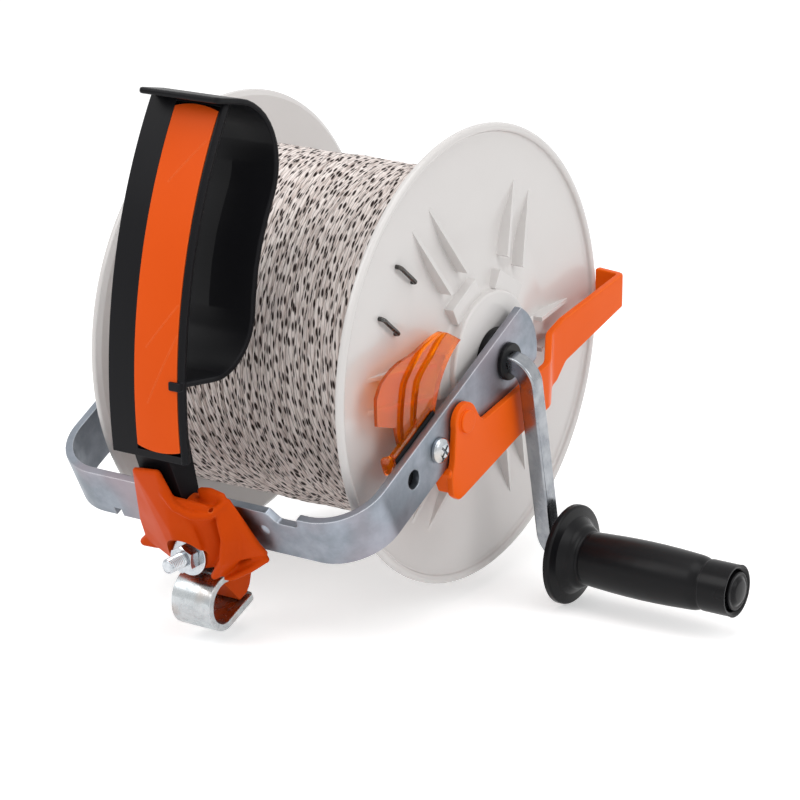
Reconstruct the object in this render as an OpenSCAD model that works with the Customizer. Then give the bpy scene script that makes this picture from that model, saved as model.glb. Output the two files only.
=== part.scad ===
// Hand-wound rope reel for electric fencing: a flanged drum full of rope turns on a square
// crank bar inside a bent steel strip frame, with a closed carrying handle, a brake lever,
// a brake shoe and a clamping hook. +X runs along the axle to the crank, -Y is the handle
// side and +Z is up. The origin is the middle of the bounding box at its base.

/* [Drum] */
// Thickness of the flange plates
flange_t = 2.5; // [2:0.5:4]
// Depth of the turned-out rim, from the rope side of the plate
rim_depth = 5.5; // [5:0.5:8]
// Thickness of the rim
rim_t = 4.5; // [3:0.5:5]
// Diameter of the hollow core tube
core_d = 116; // [100:1:130]
// Wall of the core tube
core_wall = 4; // [3:0.5:8]
// Diameter of the hub collar round the axle
hub_d = 72; // [66:1:80]
// Diameter of the foot of the hub's dome
dome_d = 130; // [118:1:150]
// Height of the hub's dome above the flange plate
dome_h = 6; // [4:0.5:8]
// Length of the hub collar above the dome
hub_len = 7.5; // [6:0.5:9]
// Wall of the hub
hub_wall = 4; // [3:0.5:6]
// Number of stiffening rib pairs on each flange
rib_pairs = 6; // [4:1:8]
// Diameter through the outer tips of the ribs
rib_tip_d = 190; // [160:1:200]
// Thickness of a rib
rib_t = 2.5; // [1.5:0.5:4]
// Height of a rib at the hub
rib_h = 9; // [6:0.5:10]
// Distance between the two ribs of a pair
rib_gap = 17; // [12:0.5:22]
// Width of the block between a pair of ribs
lug_w = 13; // [8:0.5:14]
// Radial length of that block
lug_l = 9; // [6:0.5:12]

/* [Rope] */
// Diameter of the rope
rope_d = 4.6; // [3.5:0.1:4.7]
// Diameter over the wound rope
wound_d = 190; // [160:1:210]
// Least room between two loops of the outer layer
rope_space = 0.9; // [0.75:0.05:1.5]
// Radius of the bend where the rope turns to the flange
rope_turn_r = 3.5; // [3:0.5:5]
// Room between the rope and what it lies on
rope_clear = 0.25; // [0.1:0.05:0.4]
// Wire diameter of the rope anchor staples
staple_wire = 2.4; // [1.5:0.1:3]
// Length of a staple
staple_l = 17; // [12:0.5:22]
// Height of a staple above the flange plate
staple_h = 4; // [3:0.5:6]
// Diameter of the circle on which the staples sit
staple_ring_d = 170; // [150:1:200]

/* [Crank] */
// Width of the square crank bar
bar_w = 9.5; // [7:0.5:10]
// Distance from the axle to the grip axis
crank_reach = 111; // [100:1:125]
// Lean of the crank from straight down, in degrees
crank_lean = 12.3; // [0:0.1:30]
// Bend radius of the bar at its centre line
bar_bend_r = 11; // [9:0.5:14]
// End play of the grip on its spindle
sleeve_play = 1; // [0.5:0.1:2]
// Clear distance from the frame to the crank arm
arm_clear = 8.25; // [7:0.25:16]
// Length of the free axle end on the far side
axle_stub = 6; // [4:0.5:12]

/* [Crank grip] */
// Length of the grip sleeve
sleeve_l = 101.5; // [85:0.5:120]
// Diameter of the hand stop disc
disc_d = 54; // [44:1:60]
// Diameter of the barrel at its fullest
barrel_d = 31.6; // [28:0.1:36]
// Diameter of the barrel at its two ends
barrel_end_d = 29; // [26:0.1:32]
// Diameter of the end section past the groove
tail_d = 27.6; // [25:0.1:30]
// Diameter of the domed end cap
cap_d = 20.6; // [17:0.1:22]
// Height of the dome on the cap
cap_h = 3; // [2:0.5:5]

/* [Frame] */
// Width of the frame strip
strip_w = 29; // [25:0.5:34]
// Thickness of the frame strip
strip_t = 4.5; // [3:0.5:6]
// Width over the two legs
frame_w = 200; // [190:1:230]
// Distance from the axle to the outer face of the web
frame_reach = 149; // [144:1:165]
// Room between a flange rim and the leg beside it
rim_clear = 15; // [14:0.5:24]
// Room between the flange rims and the web
web_clear = 22; // [18:0.5:30]
// Slope of the legs below level, in degrees
frame_droop = 28; // [22:1:34]
// Outer radius of the two bends
frame_bend_r = 30; // [20:1:36]
// Height of the strip's middle above the axle, square to the leg
strip_rise = 2.5; // [0:0.5:4]
// Radius of the leg's rounded end about the axle
head_r = 29; // [24:0.5:34]
// Depth of the leg's end below the axle
head_drop = 18; // [15:0.5:20]
// Diameter of the spare hole in the crank side leg
leg_hole_d = 10; // [6:0.5:12]
// Distance of that hole from the axle, along the leg
leg_hole_at = 96; // [90:1:104]
// Length of the tool notch in the web
notch_l = 18; // [12:1:22]
// Depth of the tool notch
notch_depth = 6; // [4:0.5:8]

/* [Bushes] */
// Diameter of the bush journal in the leg
journal_d = 16; // [13:0.5:18]
// Diameter of the bush collar against the hub
bush_collar_d = 34; // [26:1:40]
// Diameter of the lip outside the leg
bush_lip_d = 20; // [19:0.5:24]
// Thickness of that lip
bush_lip_t = 2.2; // [1.5:0.1:3]
// Radial running clearance of journals and pins
run_clear = 0.05; // [0.02:0.01:0.1]

/* [Brake] */
// Distance of the lever pivot from the axle, along the leg
pivot_at = 49.5; // [46:0.5:52]
// Diameter of the lever's pivot pin
pivot_d = 8; // [6:0.5:9]
// Radius of the lever's round head
lever_head_r = 10; // [8:0.5:11]
// Thickness of the lever
lever_t = 4; // [3:0.5:5]
// Width of the lever arm at its end
lever_end_w = 19; // [14:1:24]
// Gap between the flange rim and the lever's end
lever_gap = 5; // [4.5:0.1:8]
// Length of the lever's end across the rim
lever_wrap = 18; // [12:1:24]
// Distance of the brake shoe screw from the axle, along the leg
shoe_screw_at = 72; // [68:1:76]
// Thread diameter of the shoe screw
shoe_screw_d = 6; // [5:0.5:7]
// Thickness of the shoe's foot
shoe_foot_t = 4; // [3:0.5:5]
// Thickness of the pad under the foot
shoe_pad_t = 1.2; // [0.8:0.1:2]
// Gap between the brake shoe and the hub
shoe_gap = 0.4; // [0.3:0.1:1]

/* [Handle] */
// Radius of the grip's front curve
grip_curve_r = 278; // [260:1:300]
// Height of the grip, along its curve, in degrees
grip_sweep = 38; // [34:0.5:40]
// Width of the grip
grip_w = 48; // [40:1:54]
// Depth of the grip, front to back
grip_depth = 24; // [18:1:28]
// Offset of the grip's middle towards the far side
grip_shift = 4; // [0:0.5:6]
// Width of the soft insert
insert_w = 27; // [18:1:30]
// Offset of the insert's middle towards the crank
insert_shift = 3.5; // [0:0.5:5]
// Thickness of the insert
insert_t = 3; // [2:0.5:5]
// How far the insert stands proud of the grip
insert_proud = 0.8; // [0.4:0.1:1.5]
// Width of the hand guard
guard_w = 50; // [40:1:60]
// Wall of the hand guard
guard_t = 3.2; // [2:0.2:5]
// Width of the handle's stem
stem_w = 23; // [18:1:28]
// Thickness of the stem
stem_t = 12; // [9:0.5:14]

/* [Clamp] */
// Width of the hook strip
hook_w = 25; // [18:1:30]
// Thickness of the hook strip
hook_t = 4; // [3:0.5:5]
// Outer radius of the hook's loop
hook_r = 15; // [13:0.5:18]
// Thread diameter of the clamp bolt
bolt_d = 8; // [6:0.5:10]
// Width across the flats of the clamp nut
nut_af = 13; // [10:0.5:16]
// Diameter of the clamp washer
washer_d = 21; // [16:0.5:24]
// Thickness of the clamp wing in front of the stem
wing_t = 12; // [9:0.5:16]

/* [Hidden] */
$fn = 64;

// Room between pieces that are fixed to each other
fit = 0.1;
// Room between pieces that move past each other
gap = 0.3;

// The drum fills the frame: its width and diameter follow from the frame's
drum_w = frame_w - 2 * (strip_t + rim_clear);
flange_d = 2 * (frame_reach - strip_t - web_clear);

// Places along the axle, from the middle of the drum
x_plate = drum_w / 2 - rim_depth;
x_face = x_plate + flange_t;
x_dome = x_face + dome_h;
x_hub = x_dome + hub_len;
x_leg = frame_w / 2;
x_leg_in = x_leg - strip_t;
x_lip = x_leg + gap + bush_lip_t;
x_arm = x_leg + arm_clear + bar_w / 2;
x_sleeve = x_arm + bar_bend_r + sleeve_play;
x_sleeve_end = x_sleeve + sleeve_l;
x_end = x_lip + axle_stub;

// Radii of the drum
flange_r = flange_d / 2;
core_r = core_d / 2;
hub_r = hub_d / 2;
dome_r = dome_d / 2;
rib_in_r = hub_r + lug_l - 1;

// The leg's edges, square to the leg and measured from the axle
strip_top = strip_rise + strip_w / 2;
strip_low = strip_rise - strip_w / 2;
web_in = frame_reach - strip_t;

// Turns a point of the leg's own plane, along the leg and square to it, into Y and Z
function to_side(v) =
    [v.x * cos(frame_droop) - v.y * sin(frame_droop), v.x * sin(frame_droop) + v.y * cos(frame_droop)];
// Middle of the web's outer face, which carries the handle and the clamp
web_at = to_side([-frame_reach, 0]);

// The handle's front curve: its centre lies behind the drum and low
grip_mid = web_at + [-34.34, 134.55];
grip_lean = 12;
curve_c = grip_mid + grip_curve_r * [cos(grip_lean), -sin(grip_lean)];
grip_front_y = curve_c.x - grip_curve_r - insert_proud;
grip_a0 = 180 - grip_lean - grip_sweep / 2;
grip_a1 = 180 - grip_lean + grip_sweep / 2;

// Stand height and middle of the box, from the middle of the drum
lever_end_y = flange_r + lever_gap + lever_t;
base_z = -crank_reach * cos(crank_lean) - disc_d / 2;
tab_proud = 0.8;
stand = [-(x_sleeve_end + cap_h - x_end) / 2, -(lever_end_y + grip_front_y - tab_proud) / 2, -base_z];

// Points of an arc in degrees
function arc(c, r, a0, a1, n = 12) =
    [for (i = [0 : n]) c + r * [cos(a0 + (a1 - a0) * i / n), sin(a0 + (a1 - a0) * i / n)]];
function unit(v) = v / norm(v);
function turn(a) = a > 180 ? a - 360 : a < -180 ? a + 360 : a;
// One corner b of a path, rounded by radius r
function corner(a, b, c, r, n = 10) =
    let (p = unit(a - b), q = unit(c - b), half = acos(p * q) / 2,
         m = b + unit(p + q) * r / sin(half), s = b + p * r / tan(half) - m,
         e = b + q * r / tan(half) - m, a0 = atan2(s.y, s.x), da = turn(atan2(e.y, e.x) - a0))
    arc(m, r, a0, a0 + da, n);
// A path with its inner corners rounded, each by its own radius
function rounded(p, r) =
    [p[0], for (i = [1 : len(p) - 2]) each corner(p[i - 1], p[i], p[i + 1], r[i - 1]), p[len(p) - 1]];
// Outline of a strip of thickness t along a path
function side(p, d) =
    [for (i = [0 : len(p) - 1])
        let (v = unit(p[min(i + 1, len(p) - 1)] - p[max(i - 1, 0)])) p[i] + d * [-v.y, v.x]];
function strip(p, t) =
    let (a = side(p, t / 2), b = side(p, -t / 2)) concat(a, [for (i = [len(b) - 1 : -1 : 0]) b[i]]);

// Draws an outline of the side view, Y across and Z up, from x0 over a width w
module slab(x0, w) { translate([x0, 0, 0]) rotate([90, 0, 90]) linear_extrude(w) children(); }
// Turns a profile of radius and X about the axle
module turned() { rotate([90, 0, 90]) rotate_extrude() children(); }
// Places a shape in the leaning frame of the strip: Y along the leg, Z square to it
module leaning() { rotate([frame_droop, 0, 0]) children(); }
module standing() { translate(stand) children(); }
module rod(x0, x1, r) { translate([x0, 0, 0]) rotate([0, 90, 0]) cylinder(h = x1 - x0, r = r); }
module hex_rod(h, af) { cylinder(h = h, d = af / cos(30), $fn = 6); }

// Drum

module flange() {
    rim_in = flange_r - rim_t;
    bead = rim_t / 2;
    cavity_r = core_r - core_wall - 3;
    difference() {
        union() {
            turned() polygon(concat(
                [[0, x_hub - hub_wall], [0, x_hub], [hub_r - 1, x_hub], [hub_r, x_hub - 1],
                 [hub_r, x_dome], [dome_r - 8, x_face + 1.5], [dome_r, x_face], [rim_in - 0.5, x_face],
                 [rim_in, x_face + 0.5]],
                arc([rim_in + bead, drum_w / 2 - bead], bead, 180, 0),
                [[flange_r, x_face], [flange_r - flange_t, x_plate], [cavity_r, x_plate],
                 [hub_r - hub_wall, x_dome - hub_wall], [hub_r - hub_wall, x_hub - hub_wall]]));
            for (k = [0 : rib_pairs - 1]) rotate([k * 360 / rib_pairs, 0, 0]) {
                for (s = [-1, 1]) translate([0, 0, s * rib_gap / 2]) rib();
                translate([x_face, hub_r - 1, -lug_w / 2]) cube([rib_h - 1, lug_l, lug_w]);
            }
        }
        square_hole();
    }
}

module rib() {
    translate([0, 0, -rib_t / 2]) linear_extrude(rib_t)
        polygon([[x_face - 1, rib_in_r], [x_face + rib_h, rib_in_r], [x_face, rib_tip_d / 2],
                 [x_face - 1, rib_tip_d / 2]]);
}

module flange_crank() { color("whitesmoke") standing() flange(); }
module flange_far() { color("whitesmoke") standing() mirror([1, 0, 0]) flange(); }

module drum_core() {
    color("gainsboro") standing() difference() {
        rod(fit - x_plate, x_plate - fit, core_r);
        rod(-x_plate, x_plate, core_r - core_wall);
    }
}

// Rope: a plain core of the hidden layers, and the outer layer as one unbroken tube

rope_r = wound_d / 2 - rope_d / 2;
rope_steps = 24;
rope_core_r = rope_r * cos(180 / rope_steps) - rope_d / 2 - rope_clear;
rope_sides = 6;
rope_half = x_plate - rope_clear - rope_d - rope_turn_r;
loops = floor(2 * rope_half / (rope_d + rope_space));
rope_pitch = 2 * rope_half / loops;
turn_steps = 3;
turn_a = 180 * rope_turn_r / (PI * rope_r);
last_a = 360 * loops;
// Each step of the rope: place along the axle, angle round it, and turn towards the axle
rope_path = concat(
    [[-x_plate + rope_clear, -turn_a, 90]],
    [for (i = [0 : turn_steps - 1]) let (b = 90 - 90 * i / turn_steps)
        [-rope_half - rope_turn_r * (1 - cos(b)), -turn_a * sin(b), b]],
    [for (i = [0 : loops * rope_steps])
        [-rope_half + rope_pitch * i / rope_steps, 360 * i / rope_steps, 0]],
    [for (i = [1 : turn_steps]) let (b = 90 * i / turn_steps)
        [rope_half + rope_turn_r * (1 - cos(b)), last_a + turn_a * sin(b), b]],
    [[x_plate - rope_clear, last_a + turn_a, 90]]);

function rope_centre(s) = [s[0], rope_r * cos(s[1]), rope_r * sin(s[1])];
function rope_ring(s) =
    let (up = [0, cos(s[1]), sin(s[1])], along = [sin(s[2]), -sin(s[1]) * cos(s[2]), cos(s[1]) * cos(s[2])],
         across = cross(along, up))
    [for (k = [0 : rope_sides - 1])
        rope_centre(s) + rope_d / 2 * (up * cos(360 * k / rope_sides) + across * sin(360 * k / rope_sides))];
rope_points = [for (s = rope_path) each rope_ring(s)];
rope_n = len(rope_path);
rope_faces = concat(
    [for (i = [0 : rope_n - 2], k = [0 : rope_sides - 1])
        let (a = i * rope_sides + k, b = i * rope_sides + (k + 1) % rope_sides)
        each [[a, b + rope_sides, b], [a, a + rope_sides, b + rope_sides]]],
    [for (k = [1 : rope_sides - 2]) [0, k, k + 1]],
    [for (k = [1 : rope_sides - 2]) let (e = (rope_n - 1) * rope_sides) [e, e + k + 1, e + k]]);

rope_lines = [for (s = rope_path) rope_centre(s)];
rope_gap = min([for (i = [0 : rope_n - 1], j = [i + rope_steps / 2 : min(i + 2 * rope_steps, rope_n - 1)])
    norm(rope_lines[i] - rope_lines[j])]) - rope_d;
echo("least gap of the rope to itself", rope_gap);

module rope_core() {
    color("tan") standing() difference() {
        rod(fit - x_plate, x_plate - fit, rope_core_r);
        rod(-x_plate, x_plate, core_r + fit);
    }
}

module rope_winding() { color("antiquewhite") standing() polyhedron(rope_points, rope_faces); }

staple_angles = [138, 157];

module staple(a) {
    standing() rotate([a, 0, 0]) translate([x_face, staple_ring_d / 2, 0]) {
        run = staple_l - staple_wire;
        high = staple_h - staple_wire / 2;
        for (s = [-1, 1]) translate([fit, s * run / 2, 0]) {
            rotate([0, 90, 0]) cylinder(h = high - fit, d = staple_wire);
            translate([high - fit, 0, 0]) sphere(d = staple_wire);
        }
        translate([high, -run / 2, 0]) rotate([-90, 0, 0]) cylinder(h = run, d = staple_wire);
    }
}

module staple_upper() { color("dimgray") staple(staple_angles[0]); }
module staple_lower() { color("dimgray") staple(staple_angles[1]); }

// Axle, crank and bushes

module bar(p, size) { translate(p) cube(size); }
module elbow(p, a) {
    translate(p) rotate([90, 0, 0]) rotate([0, 0, a]) rotate_extrude(angle = 90)
        translate([bar_bend_r, 0]) square(bar_w, center = true);
}

spindle_r = bar_w / 2;
x_spindle_end = x_sleeve_end - 8;

module crank_bar() {
    h = bar_w / 2;
    color("silver") standing() rotate([crank_lean, 0, 0]) {
        bar([-x_end, -h, -h], [x_end + x_arm - bar_bend_r, bar_w, bar_w]);
        elbow([x_arm - bar_bend_r, 0, -bar_bend_r], 0);
        bar([x_arm - h, -h, bar_bend_r - crank_reach], [bar_w, bar_w, crank_reach - 2 * bar_bend_r]);
        elbow([x_arm + bar_bend_r, 0, bar_bend_r - crank_reach], 180);
        translate([0, 0, -crank_reach]) rod(x_arm + bar_bend_r, x_spindle_end, spindle_r);
    }
}

module square_hole() {
    rotate([crank_lean, 0, 0]) cube([3 * frame_w, bar_w + 2 * fit, bar_w + 2 * fit], center = true);
}

module bush() {
    difference() {
        union() {
            rod(x_hub + fit, x_leg_in - gap, bush_collar_d / 2);
            rod(x_hub + fit, x_lip, journal_d / 2);
            rod(x_leg + gap, x_lip, bush_lip_d / 2);
        }
        square_hole();
    }
}

module bush_crank() { color("#202020") standing() bush(); }
module bush_far() { color("#202020") standing() mirror([1, 0, 0]) bush(); }

module axle_clip() {
    color("silver") standing() difference() {
        rod(-x_lip - fit - axle_stub / 3, -x_lip - fit, bush_lip_d / 2 - 1);
        square_hole();
    }
}

// Crank grip

barrel_x0 = x_sleeve + 16;
groove_x = x_sleeve_end - 18;
groove_w = 1.5;
cap_plug = 6;
washer_t = 1.5;

module on_grip() {
    standing() rotate([crank_lean, 0, 0]) translate([0, 0, -crank_reach]) children();
}

module grip_sleeve() {
    swell = [for (i = [0 : 10]) [(barrel_end_d + (barrel_d - barrel_end_d) * sin(18 * i)) / 2,
                                 barrel_x0 + (groove_x - barrel_x0) * i / 10]];
    cap_r = cap_d / 2 + fit;
    color("#1c1c1e") on_grip() difference() {
        turned() polygon(concat(
            [[spindle_r + run_clear, x_sleeve], [disc_d / 2 - 2, x_sleeve],
             [disc_d / 2, x_sleeve + 1.5], [disc_d / 2 - 0.8, x_sleeve + 3],
             [disc_d / 2 - 6, x_sleeve + 5], [barrel_end_d / 2 + 2.5, x_sleeve + 8.5],
             [barrel_end_d / 2 + 1.6, x_sleeve + 11], [barrel_end_d / 2 - 0.6, x_sleeve + 13]],
            swell,
            [[tail_d / 2 - 0.6, groove_x + 0.2], [tail_d / 2 - 0.6, groove_x + groove_w],
             [tail_d / 2, groove_x + groove_w + 0.4], [tail_d / 2, x_sleeve_end - 5]],
            arc([tail_d / 2 - 3, x_sleeve_end - 3], 3, 0, 90, 6),
            [[spindle_r + run_clear, x_sleeve_end]]));
        rod(x_sleeve_end - cap_plug - 6, x_sleeve_end + 1, cap_r);
    }
}

module grip_cap() {
    r = cap_d / 2;
    dome_big = (r * r + cap_h * cap_h) / (2 * cap_h);
    color("#2a2a2c") on_grip() intersection() {
        rod(x_sleeve_end - cap_plug, x_sleeve_end + cap_h + 1, r);
        translate([x_sleeve_end + cap_h - dome_big, 0, 0]) sphere(r = dome_big);
    }
}

module grip_washer() {
    seat = x_sleeve_end - cap_plug - 6;
    color("silver") on_grip() difference() {
        rod(seat + gap, seat + gap + washer_t, cap_d / 2 - 1.5);
        rod(seat, seat + 4, spindle_r);
    }
}

// Frame

leg_screw = [-shoe_screw_at, strip_rise];
leg_pivot = [-pivot_at, strip_rise + 0.5];
leg_hole = [-leg_hole_at, strip_rise + 1.5];
notch_x = x_leg - 54;
foot_notch_x = x_leg - 38;
foot_notch_w = 4.5;
stamp_x = x_leg - 58;

module frame_outline(inset) {
    r = frame_bend_r - inset;
    half = x_leg - inset;
    far = frame_reach - inset;
    difference() {
        translate([-half, -far]) square([2 * half, far]);
        for (s = [-1, 1]) translate([s * (half - r), r - far]) mirror([s < 0 ? 1 : 0, 0]) {
            difference() {
                translate([0, -r - 1]) square(r + 1);
                circle(r);
            }
        }
    }
}

module leg_head() {
    a = asin(strip_top / head_r);
    b = asin(head_drop / head_r);
    polygon(concat([[-1, strip_top]], arc([0, 0], head_r, a, -b, 24), [[0, -head_drop], [-32, strip_low],
                                                                       [-32, strip_top]]));
}

module leg_drill(at, d) {
    translate([0, at.x, at.y]) rod(x_leg_in - 1, x_leg + 1, d / 2);
}

module frame_strip() {
    color("lightsteelblue") standing() leaning() difference() {
        union() {
            translate([0, 0, strip_low]) linear_extrude(strip_w) difference() {
                frame_outline(0);
                frame_outline(strip_t);
            }
            for (s = [-1, 1]) slab(s > 0 ? x_leg_in : -x_leg, strip_t) leg_head();
            translate([stamp_x, -frame_reach - 1, strip_rise + 5]) rotate([-90, 0, 0])
                cylinder(h = 2, r = 3);
        }
        rod(-x_leg - 1, x_leg + 1, journal_d / 2 + run_clear);
        leg_drill(leg_screw, shoe_screw_d + 2 * fit);
        leg_drill(leg_pivot, pivot_d + 2 * run_clear);
        leg_drill(leg_hole, leg_hole_d);
        translate([0, -web_in + 1, 0]) rotate([90, 0, 0]) linear_extrude(strip_t + 2)
            polygon([[notch_x, strip_top + 1], [notch_x + 5, strip_top - notch_depth],
                     [notch_x + notch_l, strip_top - notch_depth], [notch_x + notch_l, strip_top + 1]]);
        translate([-foot_notch_x, -web_in + 1, strip_low - 1]) rotate([90, 0, 0])
            linear_extrude(strip_t + 2) square([foot_notch_w, notch_depth]);
    }
}

// Brake lever: a head on the outside of the crank side leg, a stop under the leg, and an arm
// that steps in towards the drum and ends across the flange rim

x_lever = x_leg + gap;
x_lever_out = x_lever + lever_t;
x_arm_in = drum_w / 2 + 9.2;
pivot_y = leg_pivot.x * cos(frame_droop) - leg_pivot.y * sin(frame_droop);
pivot_z = leg_pivot.x * sin(frame_droop) + leg_pivot.y * cos(frame_droop);
pivot = [pivot_y, pivot_z];
lever_low = 0.5;
lever_inner_y = flange_r + lever_gap;
tail_at = [-74, strip_low - gap];
tail_w = 12;
tail_drop = 15;
// Where the arm leaves the outer plate, and where it reaches its inner plane
step_a = [34, -34, -9];
step_b = [52, -30, 1];
arm_rise = 14;

module lever_stop() {
    leaning() translate([x_leg_in - lever_t, tail_at.x, tail_at.y - tail_drop])
        cube([x_lever_out - x_leg_in + lever_t, tail_w, tail_drop]);
}

module lever_head() {
    slab(x_lever, lever_t) union() {
        translate(pivot) circle(lever_head_r);
        polygon([pivot + [-9.4, -3.4], pivot + [-10.3, -17.4], pivot + [-12.9, -27.4],
                 pivot + [-11.4, -37.4], pivot + [-6, -40.7], pivot + [-1, -39.4], [5, -42],
                 [step_a[0], step_a[1]], [step_a[0], step_a[2]], [3, -16.6], pivot + [16.9, -2.6],
                 pivot + [9.2, 3.6], pivot]);
    }
}

module lever_arm() {
    hull() {
        slab(x_lever, lever_t) translate([step_a[0] - 1, step_a[1]]) square([1, step_a[2] - step_a[1]]);
        slab(x_arm_in, lever_t) translate([step_b[0], step_b[1]]) square([1, step_b[2] - step_b[1]]);
    }
    slab(x_arm_in, lever_t)
        polygon([[step_b[0], step_b[1]], [step_b[0] + 7, step_b[1] + 3], [step_b[0] + 16, step_b[1] + 12],
                 [lever_end_y, lever_low], [lever_end_y, lever_low + lever_end_w],
                 [step_b[0] + arm_rise, step_b[2] + 5.5], [step_b[0], step_b[2]]]);
    translate([x_arm_in + lever_t - lever_wrap, lever_inner_y, lever_low])
        cube([lever_wrap, lever_t, lever_end_w]);
}

module brake_lever() {
    color("darkorange") standing() {
        lever_stop();
        lever_head();
        lever_arm();
        translate([0, pivot.x, pivot.y]) {
            rod(x_leg_in - gap - 3, x_lever + 1, pivot_d / 2);
            rod(x_lever_out - 1, x_lever_out + 1.5, pivot_d / 2 + 1.2);
        }
    }
}

module lever_clip() {
    color("silver") standing() translate([0, pivot.x, pivot.y]) difference() {
        rod(x_leg_in - gap - 1.5, x_leg_in - gap, pivot_d / 2 + 3);
        rod(x_leg_in - gap - 3, x_leg_in, pivot_d / 2);
    }
}

// Brake shoe: three steps of a ridged arch from the leg to the hub collar

shoe_x0 = x_face + rib_h + 1.6;
shoe_x1 = x_leg_in - shoe_pad_t - 2 * fit;
shoe_in_r = hub_r + shoe_gap;
shoe_steps = 3;
shoe_step_h = 7;
shoe_a0 = 152;
shoe_a1 = 204;
shoe_tip = 13;
shoe_root = 52;

// Outer radius of the arch at a share k of its length
function shoe_out(k) = shoe_in_r + shoe_tip + (shoe_root - shoe_tip) * sqrt(k);
function shoe_in(k) = shoe_in_r + (k < 0.45 ? 0 : (k - 0.45) * 55);
function polar(r, a) = r * [cos(a), sin(a)];

module shoe_arch(step) {
    n = 12;
    cut = step * shoe_step_h;
    polygon(concat(
        [for (i = [0 : n]) let (k = i / n)
            polar(shoe_out(k) - cut * min(1, 4 * k), shoe_a0 + (shoe_a1 - shoe_a0) * k)],
        [for (i = [n : -1 : 0]) let (k = i / n) polar(shoe_in(k), shoe_a0 + (shoe_a1 - shoe_a0) * k)]));
}

module shoe_foot(grow) {
    translate([-shoe_screw_at - 26 - grow, strip_rise - 9])
        square([38 + grow, strip_top + 3 + grow - strip_rise + 9]);
}

module brake_shoe() {
    w = (shoe_x1 - shoe_x0) / shoe_steps;
    color([1, 0.45, 0.05, 0.75]) standing() difference() {
        union() {
            for (i = [0 : shoe_steps - 1]) slab(shoe_x0 + i * w, w) shoe_arch(i);
            leaning() slab(shoe_x1 - shoe_foot_t, shoe_foot_t) shoe_foot(0);
        }
        leaning() translate([0, leg_screw.x, leg_screw.y]) {
            rod(shoe_x0 - 1, x_leg, shoe_screw_d / 2 + fit);
            rod(shoe_x0 - 1, shoe_x1 - shoe_foot_t + fit, shoe_screw_d + 1);
        }
    }
}

module shoe_pad() {
    color("#202020") standing() leaning() difference() {
        slab(x_leg_in - fit - shoe_pad_t, shoe_pad_t) shoe_foot(1);
        translate([0, leg_screw.x, leg_screw.y]) rod(x_leg_in - 5, x_leg, shoe_screw_d / 2 + fit);
    }
}

screw_head_h = 4;
screw_nut_t = 5;

module shoe_screw() {
    head = shoe_screw_d + 0.8;
    x0 = x_leg + fit;
    x_tip = shoe_x1 - shoe_foot_t - screw_nut_t - 2;
    color("silver") standing() leaning() translate([0, leg_screw.x, leg_screw.y]) difference() {
        turned() polygon(concat(
            [[0, x_tip], [shoe_screw_d / 2, x_tip], [shoe_screw_d / 2, x0], [head, x0]],
            [for (i = [0 : 8]) [head * cos(10 * i), x0 + 1 + (screw_head_h - 1) * sin(10 * i)]],
            [[0, x0 + screw_head_h]]));
        for (a = [0, 90]) rotate([a + 20, 0, 0]) translate([x_leg + screw_head_h - 2, -3.5, -0.7])
            cube([4, 7, 1.4]);
    }
}

module shoe_nut() {
    x0 = shoe_x1 - shoe_foot_t - screw_nut_t;
    color("silver") standing() leaning() translate([x0, leg_screw.x, leg_screw.y])
        rotate([0, 90, 0]) difference() {
            hex_rod(screw_nut_t - fit, shoe_screw_d * 1.65);
            translate([0, 0, -1]) cylinder(h = screw_nut_t + 2, d = shoe_screw_d);
        }
}

// Handle: a curved grip, a closed hand guard behind it and a stem that lies on the web

guard_path = rounded([for (p = [[-14.44, 223.45], [51.96, 210.85], [15.66, 140.15], [9.96, 84.05],
                                [-37.44, 84.05]]) web_at + p], [36, 110, 30]);
guard_taper = 5;
stem_x = grip_shift + 2.5;
stem_front = frame_reach + fit + stem_t;
stem_end = strip_rise + 4;
tab_w = 9.8;
tab_h = 5.5;

// Half of the grip's section: depth behind the front, and distance from the middle
grip_edge = [[0, grip_w / 2 - 2.5], [0.8, grip_w / 2 - 0.7], [2.2, grip_w / 2], [4.5, grip_w / 2 - 0.8],
             [grip_depth - 6, grip_w / 2 - 13], [grip_depth, grip_w / 2 - 20]];

module grip_section() {
    n = len(grip_edge) - 1;
    translate([grip_curve_r, -grip_shift])
        polygon(concat([for (e = grip_edge) [-e[0], e[1]]],
                       [for (i = [n : -1 : 0]) [-grip_edge[i][0], -grip_edge[i][1]]]));
}

// Sweeps a section along the grip's curve; the section's X is the radius of the curve
module along_grip(a0, a1) {
    translate([0, curve_c.x, curve_c.y]) rotate([90, 0, 90]) rotate([0, 0, a0])
        rotate_extrude(angle = a1 - a0, $fn = 180) children();
}

module insert_block(room) {
    along_grip(grip_a0 + 0.9 - 0.2 * room, grip_a1 - 0.9 + 0.2 * room)
        translate([grip_curve_r - insert_t - room, insert_shift - insert_w / 2 - room])
            square([insert_t + insert_proud + room, insert_w + 2 * room]);
}

// The end of the guard's wall, folded over the front of the insert
module insert_tab(room) {
    x0 = insert_shift + insert_w / 2 - tab_w + 2.6;
    translate([x0 - room, grip_front_y - tab_proud, guard_path[0].y - 142 - room])
        cube([tab_w, insert_t + insert_proud + tab_proud + room, tab_h + 2 * room]);
}

module guard() {
    intersection() {
        slab(-guard_w / 2, guard_w) polygon(strip(guard_path, guard_t));
        translate([0, web_at.x - 18.44, web_at.y]) linear_extrude(300)
            polygon([[-guard_w / 2, 150], [-guard_w / 2, 0], [guard_taper - guard_w / 2, -50],
                     [guard_w / 2 - 2 * guard_taper, -50], [guard_w / 2, 0], [guard_w / 2, 150]]);
    }
}

module handle_body() {
    color("#1c1c1e") standing() {
        difference() {
            union() {
                along_grip(grip_a0, grip_a1) grip_section();
                guard();
                handle_stem();
            }
            insert_block(fit);
        }
        insert_tab(0);
    }
}

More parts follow.
